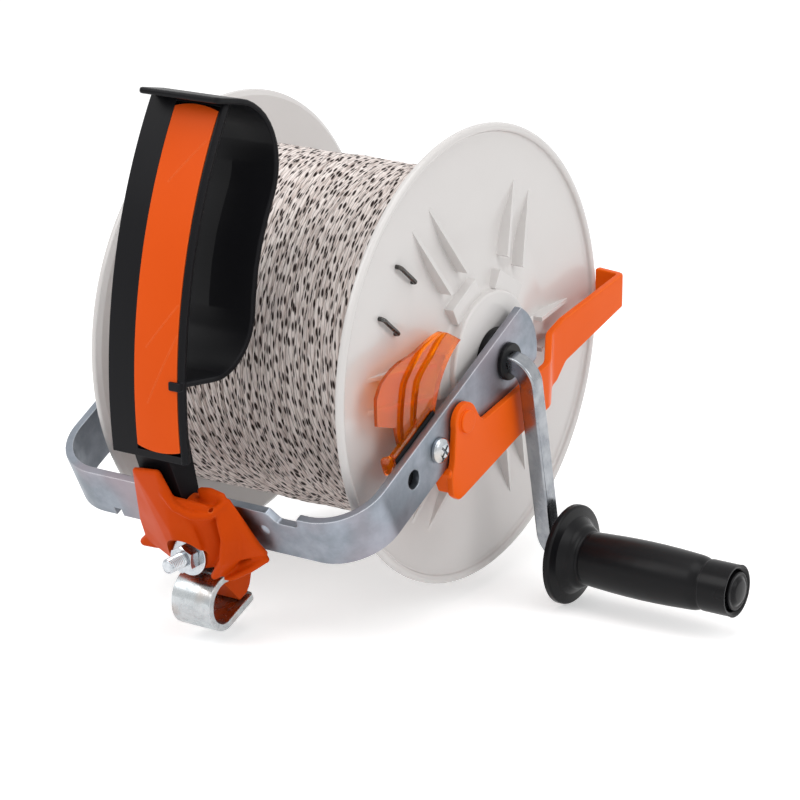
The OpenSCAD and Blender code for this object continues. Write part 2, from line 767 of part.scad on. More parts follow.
module handle_stem() {
    hull() {
        leaning() translate([-stem_x - stem_w / 2, -stem_front, strip_top + gap])
            cube([stem_w, stem_t, 3]);
        along_grip(grip_a1 - 1.5, grip_a1 - 0.8)
            translate([grip_curve_r - grip_depth + 2, -stem_x - stem_w / 2 + 0.5])
                square([grip_depth - insert_t - 3.5, stem_w - 1]);
    }
    leaning() translate([-stem_x - stem_w / 2, -stem_front, stem_end])
        cube([stem_w, stem_t, strip_top + 1 + gap - stem_end]);
}

module handle_insert() {
    color("darkorange") standing() difference() {
        insert_block(0);
        insert_tab(fit);
    }
}

// Clamp: a winged plate in front of the stem, the hook strip under the web, a jaw behind and a bolt

plate_mid = -(frame_reach + fit + hook_t / 2);
hook_top = to_side([plate_mid, stem_end - 1]);
hook_knee_z = web_at.y - 30.05;
hook_knee = hook_top + (hook_top.y - hook_knee_z) * [tan(frame_droop), -1];
hook_front = web_at.x + 2.56 - hook_r;
hook_path = rounded([hook_top, hook_knee, [hook_front + hook_t / 2, hook_knee_z],
                     [hook_front + hook_t / 2, hook_knee_z - 32], web_at + [26.06, -46.05]],
                    [6, hook_r - hook_t / 2, hook_r - hook_t / 2 - 1.5]);
bolt_tilt = 2;
bolt_at = web_at + [10.56, -14.95];
bolt_out = 41;
bolt_back = 15.3;
washer_at = 21;
washer_th = 2;
nut_t = 6.8;

module along_bolt() {
    translate([0, bolt_at.x, bolt_at.y]) rotate([90 + bolt_tilt, 0, 0]) children();
}

module bolt_hole() { along_bolt() translate([0, 0, -30]) cylinder(h = 100, d = bolt_d + 2 * fit); }

module hook() {
    color("silver") standing() difference() {
        slab(-hook_w / 2, hook_w) polygon(strip(hook_path, hook_t));
        bolt_hole();
    }
}

wing_back = frame_reach + gap;

module wing_block(x, y, z, w, d, h) { translate([x, -y - d, z]) cube([w, d, h]); }

module clamp_wing() {
    barrel_r = wing_t + 8;
    color("darkorange") standing() difference() {
        leaning() {
            hull() {
                wing_block(-16, stem_front + 3.6, 47, 19, 5, 2.5);
                wing_block(-37, frame_reach + 3, -2, 18, 8, 4);
                wing_block(-14, wing_back, -4, 10, wing_t + 6, 28);
                wing_block(-42, wing_back, -24, 28, 10, 3);
            }
            intersection() {
                hull() {
                    translate([3, 1 - frame_reach, 26]) cylinder(h = 4, r = barrel_r);
                    translate([1, 1 - frame_reach, -26]) cylinder(h = 4, r = barrel_r - 1);
                }
                wing_block(-40, wing_back, -40, 80, 40, 80);
            }
            hull() {
                wing_block(21, wing_back, 19, 9, 7, 4);
                wing_block(32, wing_back, -13, 8, 7, 9);
                wing_block(2, frame_reach + 9, -25, 10, 9, 5);
            }
        }
        leaning() translate([-stem_x - stem_w / 2 - gap, -stem_front - gap, stem_end - gap])
            cube([stem_w + 2 * gap, stem_front, 100]);
        leaning() translate([-stem_x - stem_w / 2 - gap, -stem_front - 3.3, strip_top])
            cube([stem_w + 2 * gap, stem_front, 100]);
        leaning() translate([-hook_w / 2 - gap, -frame_reach - fit - hook_t - gap, -60])
            cube([hook_w + 2 * gap, hook_t + 2, 60 + stem_end]);
        slab(-hook_w / 2 - gap, hook_w + 2 * gap) polygon(strip(hook_path, hook_t + 2 * gap));
        translate([-50, web_at.x - 68.44, hook_knee_z - 40 + hook_t / 2 + gap]) cube([100, 100, 40]);
        bolt_hole();
        along_bolt() translate([0, 0, washer_at]) cylinder(h = 40, d = washer_d + 2);
    }
}

module clamp_jaw() {
    color("darkorange") standing() difference() {
        slab(-hook_w / 2 + 2, hook_w - 4)
            translate(web_at) polygon([[2.06, -32.55], [13.56, -32.55], [18.06, -29.05], [11.56, -17.55],
                [11.56, -10.05], [16.56, -5.05], [25.56, -5.05], [25.56, -23.05], [27.56, -30.05],
                [25.06, -40.05], [22.56, -44.05], [16.56, -46.55]]);
        bolt_hole();
    }
}

module clamp_bolt() {
    color("silver") standing() along_bolt() {
        translate([0, 0, -bolt_back - fit]) cylinder(h = bolt_out + bolt_back + fit, d = bolt_d);
        translate([0, 0, -bolt_back - fit - 5]) hex_rod(5, nut_af);
    }
}

module clamp_washer() {
    color("silver") standing() along_bolt() translate([0, 0, washer_at + fit]) difference() {
        cylinder(h = washer_th, d = washer_d);
        translate([0, 0, -1]) cylinder(h = washer_th + 2, d = bolt_d + 2 * fit);
    }
}

module clamp_nut() {
    color("silver") standing() along_bolt() translate([0, 0, washer_at + washer_th + 2 * fit]) difference() {
        hex_rod(nut_t, nut_af);
        translate([0, 0, -1]) cylinder(h = nut_t + 2, d = bolt_d + 2 * fit);
    }
}

frame_strip();
flange_crank();
flange_far();
drum_core();
rope_core();
rope_winding();
staple_upper();
staple_lower();
crank_bar();
bush_crank();
bush_far();
axle_clip();
grip_sleeve();
grip_cap();
grip_washer();
brake_lever();
lever_clip();
brake_shoe();
shoe_pad();
shoe_screw();
shoe_nut();
handle_body();
handle_insert();
hook();
clamp_wing();
clamp_jaw();
clamp_bolt();
clamp_washer();
clamp_nut();
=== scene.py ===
"""Looks of a hand-wound rope reel for electric fencing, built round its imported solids."""
import logging
import math
from dataclasses import dataclass
from enum import Enum
from functools import cache
from typing import Sequence

import bmesh
import bpy
import numpy
from bmesh.types import BMEdge, BMFace, BMVert
from mathutils import Matrix, Vector


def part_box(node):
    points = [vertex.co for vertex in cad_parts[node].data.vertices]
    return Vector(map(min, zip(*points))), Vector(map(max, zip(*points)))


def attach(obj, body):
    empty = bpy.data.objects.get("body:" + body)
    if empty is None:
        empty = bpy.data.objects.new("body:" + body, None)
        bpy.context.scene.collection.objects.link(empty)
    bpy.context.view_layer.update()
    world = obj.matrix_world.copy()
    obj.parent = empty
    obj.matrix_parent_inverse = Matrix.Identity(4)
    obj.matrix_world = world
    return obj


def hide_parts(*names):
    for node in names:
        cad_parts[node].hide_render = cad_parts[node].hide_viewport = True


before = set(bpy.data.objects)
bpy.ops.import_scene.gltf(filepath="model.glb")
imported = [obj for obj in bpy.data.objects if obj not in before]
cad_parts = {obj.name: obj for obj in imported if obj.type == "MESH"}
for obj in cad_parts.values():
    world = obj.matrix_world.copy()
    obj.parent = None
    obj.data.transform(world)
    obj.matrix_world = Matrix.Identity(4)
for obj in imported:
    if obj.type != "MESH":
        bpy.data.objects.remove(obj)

LOG = logging.getLogger("reel")
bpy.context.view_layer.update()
Point = tuple[float, float]
Spot = Sequence[float]
Ball = tuple[float, float, float, float]
Shape = bmesh.types.BMesh
Tree = bpy.types.NodeTree
Socket = bpy.types.NodeSocket
MM = 0.001
FULL_TURN = 2 * math.pi
# Points nearer to each other than this many millimetres are one point
TOUCH = 1e-4
# Middle of the drum on its axle: sizes below are millimetres from there unless they say otherwise
MIDDLE = (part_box("flange_far")[0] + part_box("flange_crank")[1]) / 2
# The frame's legs slope by this much: along a leg is "u", square to it is "n"
LEAN = Matrix.Rotation(math.radians(28), 4, "X")
# From the near side of the drum to the far one
MIRROR = Matrix.Scale(-1, 4, (1, 0, 0))
# Name of the map of a rope's own length and girth
ROPE_MAP = "rope"


class Body(Enum):
    """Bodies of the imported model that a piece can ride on."""

    FRAME = "frame"
    DRUM = "drum"
    GRIP = "grip"
    LEVER = "lever"


# Tools that shape the meshes


@dataclass(frozen=True)
class Track:
    """A plane path of straights with rounded corners.

    Fields: corners in millimetres, and a bend radius for each inner corner.
    """

    corners: tuple[Point, ...]
    radii: tuple[float, ...]

    @cache
    def runs(self) -> list[tuple[float, float, Vector, float, float]]:
        """Splits the path.

        Returns:
            Each run's start, length, first point, first heading and curvature.
        """
        found, start, at = [], Vector(self.corners[0]), 0.0
        for a, b, c, radius in zip(self.corners, self.corners[1:], self.corners[2:], self.radii):
            before, after = (Vector(b) - Vector(a)).normalized(), (Vector(c) - Vector(b)).normalized()
            turn = math.atan2(before.cross(after), before.dot(after))
            room = radius * abs(math.tan(turn / 2))
            end, heading = Vector(b) - before * room, math.atan2(before.y, before.x)
            found.append((at, (end - start).length, start, heading, 0.0))
            at += (end - start).length
            found.append((at, radius * abs(turn), end, heading, math.copysign(1 / radius, turn)))
            at += radius * abs(turn)
            start = Vector(b) + after * room
        last = Vector(self.corners[-1]) - start
        found.append((at, last.length, start, math.atan2(last.y, last.x), 0.0))
        return found

    def at(self, place: float, aside: float = 0.0) -> Vector:
        """Finds a point.

        Args:
            place: distance along the path; before its start and past its end the path runs straight on.
            aside: distance to the left of the path.

        Returns:
            The point in the path's plane.
        """
        runs = self.runs()
        begin, _, point, heading, bend = next((r for r in reversed(runs) if r[0] <= place), runs[0])
        t = place - begin
        now = heading + bend * t
        if bend:
            step = Vector((math.sin(now) - math.sin(heading), math.cos(heading) - math.cos(now))) / bend
        else:
            step = Vector((math.cos(heading), math.sin(heading))) * t
        return point + step + Vector((-math.sin(now), math.cos(now))) * aside

    def stations(self, step: float = 15.0) -> list[float]:
        """Places along the path at its corners and every step degrees through its bends."""
        places = []
        for begin, length, _, _, bend in self.runs():
            pieces = max(1, math.ceil(math.degrees(abs(bend) * length) / step))
            places += [begin + length * i / pieces for i in range(pieces)]
        return places + [begin + length]

    def points(self, step: float = 15.0) -> list[Point]:
        """Points of the path at its stations."""
        spots = [self.at(s) for s in self.stations(step)]
        kept = [spots[0]] + [b for a, b in zip(spots, spots[1:]) if (b - a).length > TOUCH]
        return [(p.x, p.y) for p in kept]

    def place_of(self, reach: float) -> float:
        """Distance along the path at which its first coordinate gets to reach."""
        low, high, halvings = -400.0, self.stations()[-1], 40
        for _ in range(halvings):
            half = (low + high) / 2
            low, high = (half, high) if self.at(half).x < reach else (low, half)
        return low


def circle(middle: Point, radius: float, start: float = 0, sweep: float = 360,
           steps: int = 32) -> list[Point]:
    """Points of an arc in degrees; a full circle leaves out its last point."""
    count = steps if sweep % 360 == 0 else steps + 1
    angles = [math.radians(start + sweep * i / steps) for i in range(count)]
    return [(middle[0] + radius * math.cos(a), middle[1] + radius * math.sin(a)) for a in angles]


def rounded(outline: Sequence[Point], radii: float | Sequence[float], step: float = 18) -> list[Point]:
    """Rounds a closed outline's corners by one radius or one for each, with a point every step degrees."""
    each = [radii] * len(outline) if isinstance(radii, (int, float)) else list(radii)
    first = tuple((Vector(outline[-1]) + Vector(outline[0])) / 2)
    return Track((first, *outline, first), tuple(max(r, 0.01) for r in each)).points(step)[:-1]


def loop_edges(bm: Shape, spots: Sequence[Spot], closed: bool = True) -> list[BMEdge]:
    """Draws a line through points and returns its edges."""
    verts = [bm.verts.new(s) for s in spots]
    return [bm.edges.new(pair) for pair in zip(verts, verts[1:] + verts[:1] if closed else verts[1:])]


def polar(x: float, radius: float, angle: float) -> tuple[float, float, float]:
    """The point at a place on the X axis, so far out from it and so many radians round it."""
    return x, radius * math.cos(angle), radius * math.sin(angle)


def faced(bm: Shape) -> Shape:
    """Turns all faces outwards."""
    bmesh.ops.recalc_face_normals(bm, faces=bm.faces[:])
    return bm


def only(kind: type, found: Sequence) -> list:
    """Picks the elements of one kind from an operator's result."""
    return [g for g in found if isinstance(g, kind)]


def scored(bm: Shape, spot: Spot, normal: Spot, **options: bool) -> list:
    """Cuts edges into a shape where a plane crosses it, and returns the cut."""
    geom = bm.verts[:] + bm.edges[:] + bm.faces[:]
    return bmesh.ops.bisect_plane(bm, geom=geom, dist=TOUCH, plane_co=spot, plane_no=normal,
                                  **options)["geom_cut"]


def mesh_of(bm: Shape, name: str = "work") -> bpy.types.Mesh:
    """Writes a shape, which is used up, to a new mesh."""
    mesh = bpy.data.meshes.new(name)
    bm.to_mesh(mesh)
    bm.free()
    return mesh


def placed(name: str, data: bpy.types.ID) -> bpy.types.Object:
    """Puts a new object in the scene."""
    made = bpy.data.objects.new(name, data)
    bpy.context.scene.collection.objects.link(made)
    return made


def turned(profile: Sequence[Point], steps: int = 96, closed: bool = True) -> Shape:
    """Turns a profile of (place along X, radius), open or closed, about the X axis."""
    bm = bmesh.new()
    edges = loop_edges(bm, [(x, r, 0) for x, r in profile], closed)
    bmesh.ops.spin(bm, geom=bm.verts[:] + edges, cent=(0, 0, 0), axis=(1, 0, 0), angle=FULL_TURN,
                   steps=steps, use_merge=True)
    bmesh.ops.remove_doubles(bm, verts=bm.verts[:], dist=TOUCH)
    return faced(bm)


def sheet(outline: Sequence[Point], low: float, high: float, holes: Sequence[Sequence[Point]] = (),
          edge: float = 0.0) -> Shape:
    """Cuts an outline with holes from flat stock and rounds its rims.

    Args:
        outline: points of (x, y).
        low: the stock's lower face in z.
        high: its upper face.
        holes: outlines of the holes.
        edge: radius of the rims.

    Returns:
        The cut sheet.
    """
    bm = bmesh.new()
    rims = [[(x, y, low + edge) for x, y in ring] for ring in (outline, *holes)]
    edges = [e for rim in rims for e in loop_edges(bm, rim)]
    bmesh.ops.triangle_fill(bm, edges=edges, use_beauty=True, normal=(0, 0, 1))
    under = bm.faces[:]
    upper = bmesh.ops.extrude_face_region(bm, geom=under, use_keep_orig=True)["geom"]
    bmesh.ops.translate(bm, vec=(0, 0, high - low - 2 * edge), verts=only(BMVert, upper))
    faced(bm)
    if edge:
        for region in (under, only(BMFace, upper)):
            # A quarter round in two flats
            for wide, deep in ((0.29, 0.71), (0.71, 0.29)):
                bmesh.ops.inset_region(bm, faces=region, use_boundary=True, use_even_offset=True,
                                       thickness=edge * wide, depth=edge * deep)
    return bm


def bead(*spots: Ball) -> Shape:
    """Wraps balls of (x, y, z, radius) in one hull."""
    balls = []
    for x, y, z, r in spots:
        ball = bmesh.new()
        bmesh.ops.create_icosphere(ball, subdivisions=2, radius=r)
        balls.append(moved(ball, shift(x, y, z)))
    return hull_of(*balls)


def ridge(*spots: Ball) -> Shape:
    """Strings balls of (x, y, z, radius) on a line, hull by hull."""
    return joined(*(bead(*pair) for pair in zip(spots, spots[1:])))


def block(low: Spot, high: Spot, radius: float = 0.8, segments: int = 2) -> Shape:
    """Makes a box between two corners with rounded edges."""
    bm = bmesh.new()
    bmesh.ops.create_cube(bm, size=1)
    size, middle = Vector(high) - Vector(low), (Vector(high) + Vector(low)) / 2
    bmesh.ops.scale(bm, vec=size, verts=bm.verts[:])
    bmesh.ops.translate(bm, vec=middle, verts=bm.verts[:])
    return eased(bm, radius, segments)


def eased(bm: Shape, radius: float, segments: int = 2, angle: float = 40) -> Shape:
    """Rounds every edge that turns by more than angle degrees."""
    sharp = [e for e in bm.edges if len(e.link_faces) == 2 and e.calc_face_angle(0) > math.radians(angle)]
    bmesh.ops.bevel(bm, geom=sharp, offset=radius, offset_type="OFFSET", segments=segments, profile=0.5,
                    affect="EDGES", material=-1, clamp_overlap=True)
    return bm


def moved(bm: Shape, *steps: Matrix) -> Shape:
    """Applies moves in order."""
    for step in steps:
        bmesh.ops.transform(bm, matrix=step, verts=bm.verts[:])
    return bm


def shift(x: float = 0, y: float = 0, z: float = 0) -> Matrix:
    """A move by millimetres."""
    return Matrix.Translation((x, y, z))


def turn(degrees: float, axis: str = "X") -> Matrix:
    """A turn about an axis through the origin."""
    return Matrix.Rotation(math.radians(degrees), 4, axis)


def swapped(order: str) -> Matrix:
    """Takes the new X, Y and Z from the old axes that order names, such as "yxz" for the side view."""
    return Matrix([[float(axis == old) for axis in "xyz"] + [0.0] for old in order] + [[0, 0, 0, 1]])


def joined(*parts: Shape) -> Shape:
    """Gathers several shells in one mesh."""
    whole = bmesh.new()
    for part in parts:
        mesh = mesh_of(part)
        whole.from_mesh(mesh)
        bpy.data.meshes.remove(mesh)
    return whole


def hull_of(*parts: Shape) -> Shape:
    """Wraps shells in their convex hull."""
    bm = joined(*parts)
    spare = bmesh.ops.convex_hull(bm, input=bm.verts[:])
    drop = set(only(BMVert, [*spare["geom_interior"], *spare["geom_unused"]]))
    bmesh.ops.delete(bm, geom=list(drop), context="VERTS")
    bmesh.ops.dissolve_limit(bm, angle_limit=0.02, verts=bm.verts[:], edges=bm.edges[:])
    return bm


def folded(bm: Shape, track: Track, step: float = 7.0) -> Shape:
    """Bends a flat sheet along a track.

    Args:
        bm: the sheet; its X runs along the track and its Z is the distance to the left of it.
        track: the path.
        step: degrees between two bend lines.

    Returns:
        The sheet, with the track's plane in X and Z and the sheet's own width in Y.
    """
    for place in track.stations(step):
        scored(bm, (place, 0, 0), (1, 0, 0))
    for v in bm.verts:
        p = track.at(v.co.x, v.co.z)
        v.co = (p.x, v.co.y, p.y)
    return bm


@dataclass(frozen=True)
class Pull:
    """One stretch of a drawn bar: a straight, or a bend in several steps.

    Fields: the straight's vector, which for a bend is each step's advance; the bend's centre, axis, degrees
    and steps.
    """

    along: Spot = (0, 0, 0)
    centre: Spot = (0, 0, 0)
    axis: Spot = (1, 0, 0)
    degrees: float = 0.0
    steps: int = 1


def bend(centre: Spot, axis: Spot) -> Pull:
    """A quarter bend."""
    return Pull(centre=centre, axis=axis, degrees=90, steps=8)


def drawn_out(ring: Sequence[Spot], *pulls: Pull) -> Shape:
    """Draws a closed ring out along straights and round bends, as a bar is bent.

    Args:
        ring: points of the bar's section at its start.
        pulls: the bar's stretches in order.

    Returns:
        The bar, closed at both ends.
    """
    bm = bmesh.new()
    edges = loop_edges(bm, ring)
    bm.faces.new(bm.verts[:])
    for pull in pulls:
        verts = list(dict.fromkeys(v for e in edges for v in e.verts))
        last = bmesh.ops.spin(bm, geom=verts + edges, cent=pull.centre, axis=pull.axis, dvec=pull.along,
                              angle=math.radians(pull.degrees), steps=pull.steps, use_merge=False)
        edges = only(BMEdge, last["geom_last"])
    bmesh.ops.contextual_create(bm, geom=edges)
    return faced(bm)


def shorn(bm: Shape, spot: Spot, side: Spot) -> Shape:
    """Cuts off what lies on the given side of a plane through a spot, and closes the cut."""
    cut = scored(bm, spot, side, clear_outer=True)
    bmesh.ops.holes_fill(bm, edges=only(BMEdge, cut), sides=0)
    return bm


def worked(bm: Shape, cutters: Sequence[Shape] = (), voxel: float = 0.0, smooth: int = 0) -> Shape:
    """Remeshes a shape in one skin and cuts other shapes from it.

    Args:
        bm: the shape.
        cutters: shapes to take away, one after another.
        voxel: size of the remesh in millimetres, 0 for none.
        smooth: rounds of smoothing after the remesh.

    Returns:
        The worked shape.
    """
    work = [placed("work", mesh_of(faced(part))) for part in (bm, *cutters)]
    body = work[0]
    if voxel:
        skin = body.modifiers.new("Skin", "REMESH")
        skin.mode, skin.voxel_size = "VOXEL", voxel
    if smooth:
        ease = body.modifiers.new("Ease", "SMOOTH")
        ease.factor, ease.iterations = 0.5, smooth
    for tool in work[1:]:
        cut = body.modifiers.new("Cut", "BOOLEAN")
        cut.operation, cut.solver, cut.object = "DIFFERENCE", "EXACT", tool
    bpy.context.view_layer.update()
    solved = body.evaluated_get(bpy.context.evaluated_depsgraph_get())
    result = bmesh.new()
    result.from_mesh(solved.to_mesh())
    solved.to_mesh_clear()
    for obj in work:
        mesh = obj.data
        bpy.data.objects.remove(obj)
        bpy.data.meshes.remove(mesh)
    return result


# Finishes


def linear(code: str) -> tuple[float, float, float, float]:
    """Turns an sRGB hex colour to linear."""
    parts = [int(code[i:i + 2], 16) / 255 for i in (1, 3, 5)]
    return (*(p / 12.92 if p <= 0.04045 else ((p + 0.055) / 1.055) ** 2.4 for p in parts), 1.0)


def connect(tree: Tree, node: bpy.types.Node, inputs: dict) -> None:
    """Links sockets to a node's named or numbered inputs, and sets plain values on them."""
    for key, value in inputs.items():
        if isinstance(value, Socket):
            tree.links.new(value, node.inputs[key])
        else:
            node.inputs[key].default_value = value


def add_node(tree: Tree, kind: str, inputs: dict | None = None, **settings) -> bpy.types.Node:
    """Adds a node.

    Args:
        tree: the node tree.
        kind: the node's Blender type.
        inputs: a value or an output socket for each named or numbered input.
        settings: the node's own properties.

    Returns:
        The node.
    """
    node = tree.nodes.new(kind)
    for key, value in settings.items():
        setattr(node, key, value)
    connect(tree, node, inputs or {})
    return node


def fresh_tree(owner: bpy.types.ID) -> Tree:
    """Gives a material or world an empty node tree."""
    owner.use_nodes = True
    owner.node_tree.nodes.clear()
    return owner.node_tree


def noise(tree: Tree, spot: Socket, size_mm: float, **inputs: float) -> Socket:
    """Cloudy noise with patches of about size_mm."""
    scale = 1 / (size_mm * MM)
    return add_node(tree, "ShaderNodeTexNoise", {"Vector": spot, "Scale": scale, **inputs}).outputs["Fac"]


def ramp(tree: Tree, value: Socket, ends: Point, gives: Point = (0.0, 1.0)) -> Socket:
    """Maps a value between two ends to what they give, and holds it beyond them."""
    inputs = {"Value": value, "From Min": ends[0], "From Max": ends[1],
              "To Min": gives[0], "To Max": gives[1]}
    return add_node(tree, "ShaderNodeMapRange", inputs).outputs[0]


def blend(tree: Tree, share: Socket, first: str | Socket, second: str | Socket) -> Socket:
    """Mixes two colours, each a hex code or a socket."""
    a, b = (linear(c) if isinstance(c, str) else c for c in (first, second))
    return add_node(tree, "ShaderNodeMix", {0: share, 6: a, 7: b}, data_type="RGBA").outputs[2]


def bump(tree: Tree, height: Socket, strength: float, depth_mm: float) -> Socket:
    """Turns a height into a bent normal."""
    inputs = {"Height": height, "Strength": strength, "Distance": depth_mm * MM}
    return add_node(tree, "ShaderNodeBump", inputs).outputs["Normal"]


def mapped(tree: Tree, spot: Socket, **inputs: Spot) -> Socket:
    """Turns or stretches coordinates."""
    return add_node(tree, "ShaderNodeMapping", {"Vector": spot, **inputs}).outputs[0]


@dataclass(frozen=True)
class Finish:
    """A material for one of the record's slots."""

    name: str
    slot: str

    def highlit_edges(self, tree: Tree, share: float, reach_mm: float = 0.9) -> Socket:
        """Finds the sharp edges, which get a painted highlight.

        Args:
            tree: the node tree.
            share: what a sharp edge gets; flats get 0.
            reach_mm: how far the painted highlight runs in from an edge.

        Returns:
            The socket with the share.
        """
        flat, sharp = 0.98, 0.85
        soft = add_node(tree, "ShaderNodeBevel", {"Radius": reach_mm * MM}, samples=4).outputs[0]
        face = add_node(tree, "ShaderNodeNewGeometry").outputs["Normal"]
        match = add_node(tree, "ShaderNodeVectorMath", {0: soft, 1: face}, operation="DOT_PRODUCT")
        return ramp(tree, match.outputs["Value"], (flat, sharp), (0.0, share))

    def material(self) -> bpy.types.Material:
        """Returns the Blender material, made on first use."""
        if self.name in bpy.data.materials:
            return bpy.data.materials[self.name]
        made = bpy.data.materials.new(self.name)
        tree = fresh_tree(made)
        shader = add_node(tree, "ShaderNodeBsdfPrincipled")
        add_node(tree, "ShaderNodeOutputMaterial", {"Surface": shader.outputs["BSDF"]})
        self.dress(tree, shader)
        return made

    def dress(self, tree: Tree, shader: bpy.types.Node) -> None:
        """Adds the finish's own nodes in front of the shader."""


@dataclass(frozen=True)
class MouldedPlastic(Finish):
    """Plastic from a polished or grained mould: one colour through, slow shade drift, fine skin grain.

    Fields: two near colours, roughness and its spread, sizes in millimetres, how strongly the skin mirrors,
    colour and strength of the painted highlight on sharp edges, the share of light that goes through, and the
    refractive index.
    """

    colour: str = "#808080"
    drift: str = "#7A7A7A"
    rough: float = 0.4
    spread: float = 0.08
    drift_mm: float = 60.0
    grain_mm: float = 1.2
    relief_mm: float = 0.03
    shine: float = 0.25
    pale: str = "#F2F0EE"
    edge_highlight: float = 0.3
    clear: float = 0.0
    index: float = 1.49

    def dress(self, tree: Tree, shader: bpy.types.Node) -> None:
        """Adds shade drift, painted edge highlights, uneven gloss and skin grain."""
        spot = add_node(tree, "ShaderNodeTexCoord").outputs["Object"]
        slow = noise(tree, spot, self.drift_mm, Detail=3.0)
        fine = noise(tree, spot, self.grain_mm, Detail=2.0)
        body = blend(tree, slow, self.colour, self.drift)
        # Sharp edges are lightened towards the pale colour as a painted highlight
        connect(tree, shader, {
            "Base Color": blend(tree, self.highlit_edges(tree, self.edge_highlight), body, self.pale),
            "Roughness": ramp(tree, slow, (0.3, 0.7), (self.rough - self.spread, self.rough + self.spread)),
            "Normal": bump(tree, fine, 0.5, self.relief_mm),
            "IOR": self.index, "Specular IOR Level": self.shine, "Transmission Weight": self.clear})


@dataclass(frozen=True)
class PlatedSteel(Finish):
    """Zinc plated or bright steel: metal with cloudy patches, faint tarnish tints, on the drawn bar a painted
    orange reflection, and a fine grain.

    Fields: the metal's two greys and a tint for tarnish and painted reflection, roughness and its spread,
    sizes in millimetres, and how strongly and in what colour the edges get a painted highlight.
    """

    colour: str = "#C3CBD1"
    cloud: str = "#A9B4BD"
    tarnish_and_reflection: str = "#C9BFC0"
    rough: float = 0.36
    spread: float = 0.08
    cloud_mm: float = 14.0
    line_mm: float = 0.5
    relief_mm: float = 0.02
    edge_highlight: float = 0.5
    pale: str = "#D6D9DB"

    def dress(self, tree: Tree, shader: bpy.types.Node) -> None:
        """Adds the clouds, the tarnish and painted reflection tint, the painted edge highlights and the
        grain.
        """
        spot = add_node(tree, "ShaderNodeTexCoord").outputs["Object"]
        cloud = noise(tree, spot, self.cloud_mm, Detail=5.0, Roughness=0.6)
        slow = noise(tree, spot, 4 * self.cloud_mm)
        fine = noise(tree, spot, self.line_mm, Detail=1.0)
        patches = (0.35, 0.65)
        grey = blend(tree, ramp(tree, cloud, patches), self.colour, self.cloud)
        # The warm tint is tarnish, and on the drawn bar a painted reflection of the orange lever
        metal = blend(tree, ramp(tree, slow, (0.52, 0.7)), grey, self.tarnish_and_reflection)
        # Sharp edges are lightened towards the pale colour as a painted highlight
        connect(tree, shader, {
            "Base Color": blend(tree, self.highlit_edges(tree, self.edge_highlight), metal, self.pale),
            "Roughness": ramp(tree, cloud, patches, (self.rough - self.spread, self.rough + self.spread)),
            "Normal": bump(tree, fine, 0.4, self.relief_mm),
            "Metallic": 1.0})


@dataclass(frozen=True)
class BraidedRope(Finish):
    """Braided polyethylene fence rope: pale strands, and dark tracers that surface as short slanted dashes.

    Fields: colours of strand, shade and tracer, the tracer's colour also painting shade in the gaps between
    strands; pitch of the dashes along and across the rope, and width of a strand, in millimetres; slant of
    the lay in degrees; share of a dash in its pitch.
    """

    colour: str = "#F6ECE7"
    shade: str = "#CDBFB9"
    tracer_and_gap_shade: str = "#261815"
    dash_mm: float = 9.0
    row_mm: float = 2.1
    strand_mm: float = 1.9
    slant: float = 9.0
    share: float = 0.26

    def dress(self, tree: Tree, shader: bpy.types.Node) -> None:
        """Adds strands with painted shade in the gaps between them, and dashes, that read the rope's own
        length and girth.
        """
        laid = add_node(tree, "ShaderNodeUVMap", uv_map=ROPE_MAP).outputs["UV"]
        lay = mapped(tree, laid, Rotation=(0, 0, math.radians(self.slant)))
        cells = mapped(tree, lay, Scale=(1 / (self.dash_mm * MM), 1 / (self.row_mm * MM), 1))
        dash = add_node(tree, "ShaderNodeTexVoronoi", {"Vector": cells, "Scale": 1.0, "Randomness": 0.75},
                        voronoi_dimensions="2D").outputs["Distance"]
        dark = ramp(tree, dash, (self.share - 0.06, self.share + 0.06), (1.0, 0.0))
        fuzz = noise(tree, mapped(tree, lay, Scale=(0.12, 1, 1)), 1.2, Detail=2.0)
        strand = blend(tree, ramp(tree, fuzz, (0.33, 0.55)), self.shade, self.colour)
        # The braid's strands show in the render from about two millimetres up, so they are drawn that wide
        ribs = add_node(tree, "ShaderNodeTexWave", {"Vector": lay, "Scale": 0.314 / (self.strand_mm * MM),
                                                    "Distortion": 2.0, "Detail": 1.0},
                        bands_direction="Y").outputs["Fac"]
        # Dark lines along the gaps between strands, in the tracer's colour, are painted shade
        gap_shaded = blend(tree, ramp(tree, ribs, (0.02, 0.22), (0.45, 0.0)), strand, self.tracer_and_gap_shade)
        connect(tree, shader, {
            "Base Color": blend(tree, dark, gap_shaded, self.tracer_and_gap_shade),
            "Normal": bump(tree, ribs, 0.6, 0.25),
            "Roughness": 0.6, "Specular IOR Level": 0.25})


# Moulded polypropylene, polished mould: a warm white with a soft broad sheen
WHITE = MouldedPlastic(
    "Moulded white polypropylene", "white_plastic", "#DEDBD9", "#D6D2D0",
    rough=0.2, spread=0.05, drift_mm=80, grain_mm=2.0, relief_mm=0.02, shine=0.5)
# Moulded nylon with a fine matt grain: near black with a faint broad sheen
BLACK = MouldedPlastic(
    "Grained black nylon", "black_plastic", "#0E0E11", "#131316", pale="#46464A",
    rough=0.42, spread=0.07, drift_mm=45, grain_mm=0.9, relief_mm=0.05, shine=0.12)
# The grip turns in the hand, so the same nylon is glossier there
HAND_BLACK = MouldedPlastic(
    "Polished black nylon", "black_plastic", "#0D0D0F", "#121214", pale="#46464A",
    rough=0.3, spread=0.06, drift_mm=40, grain_mm=0.9, relief_mm=0.03, shine=0.16)
# Glass-filled nylon in safety orange: saturated, satin, with slow flow marks
ORANGE = MouldedPlastic(
    "Moulded orange nylon", "orange_plastic", "#F46204", "#EC5B02", pale="#FFA05C",
    rough=0.36, spread=0.07, drift_mm=40, grain_mm=1.1, relief_mm=0.03, shine=0.12)
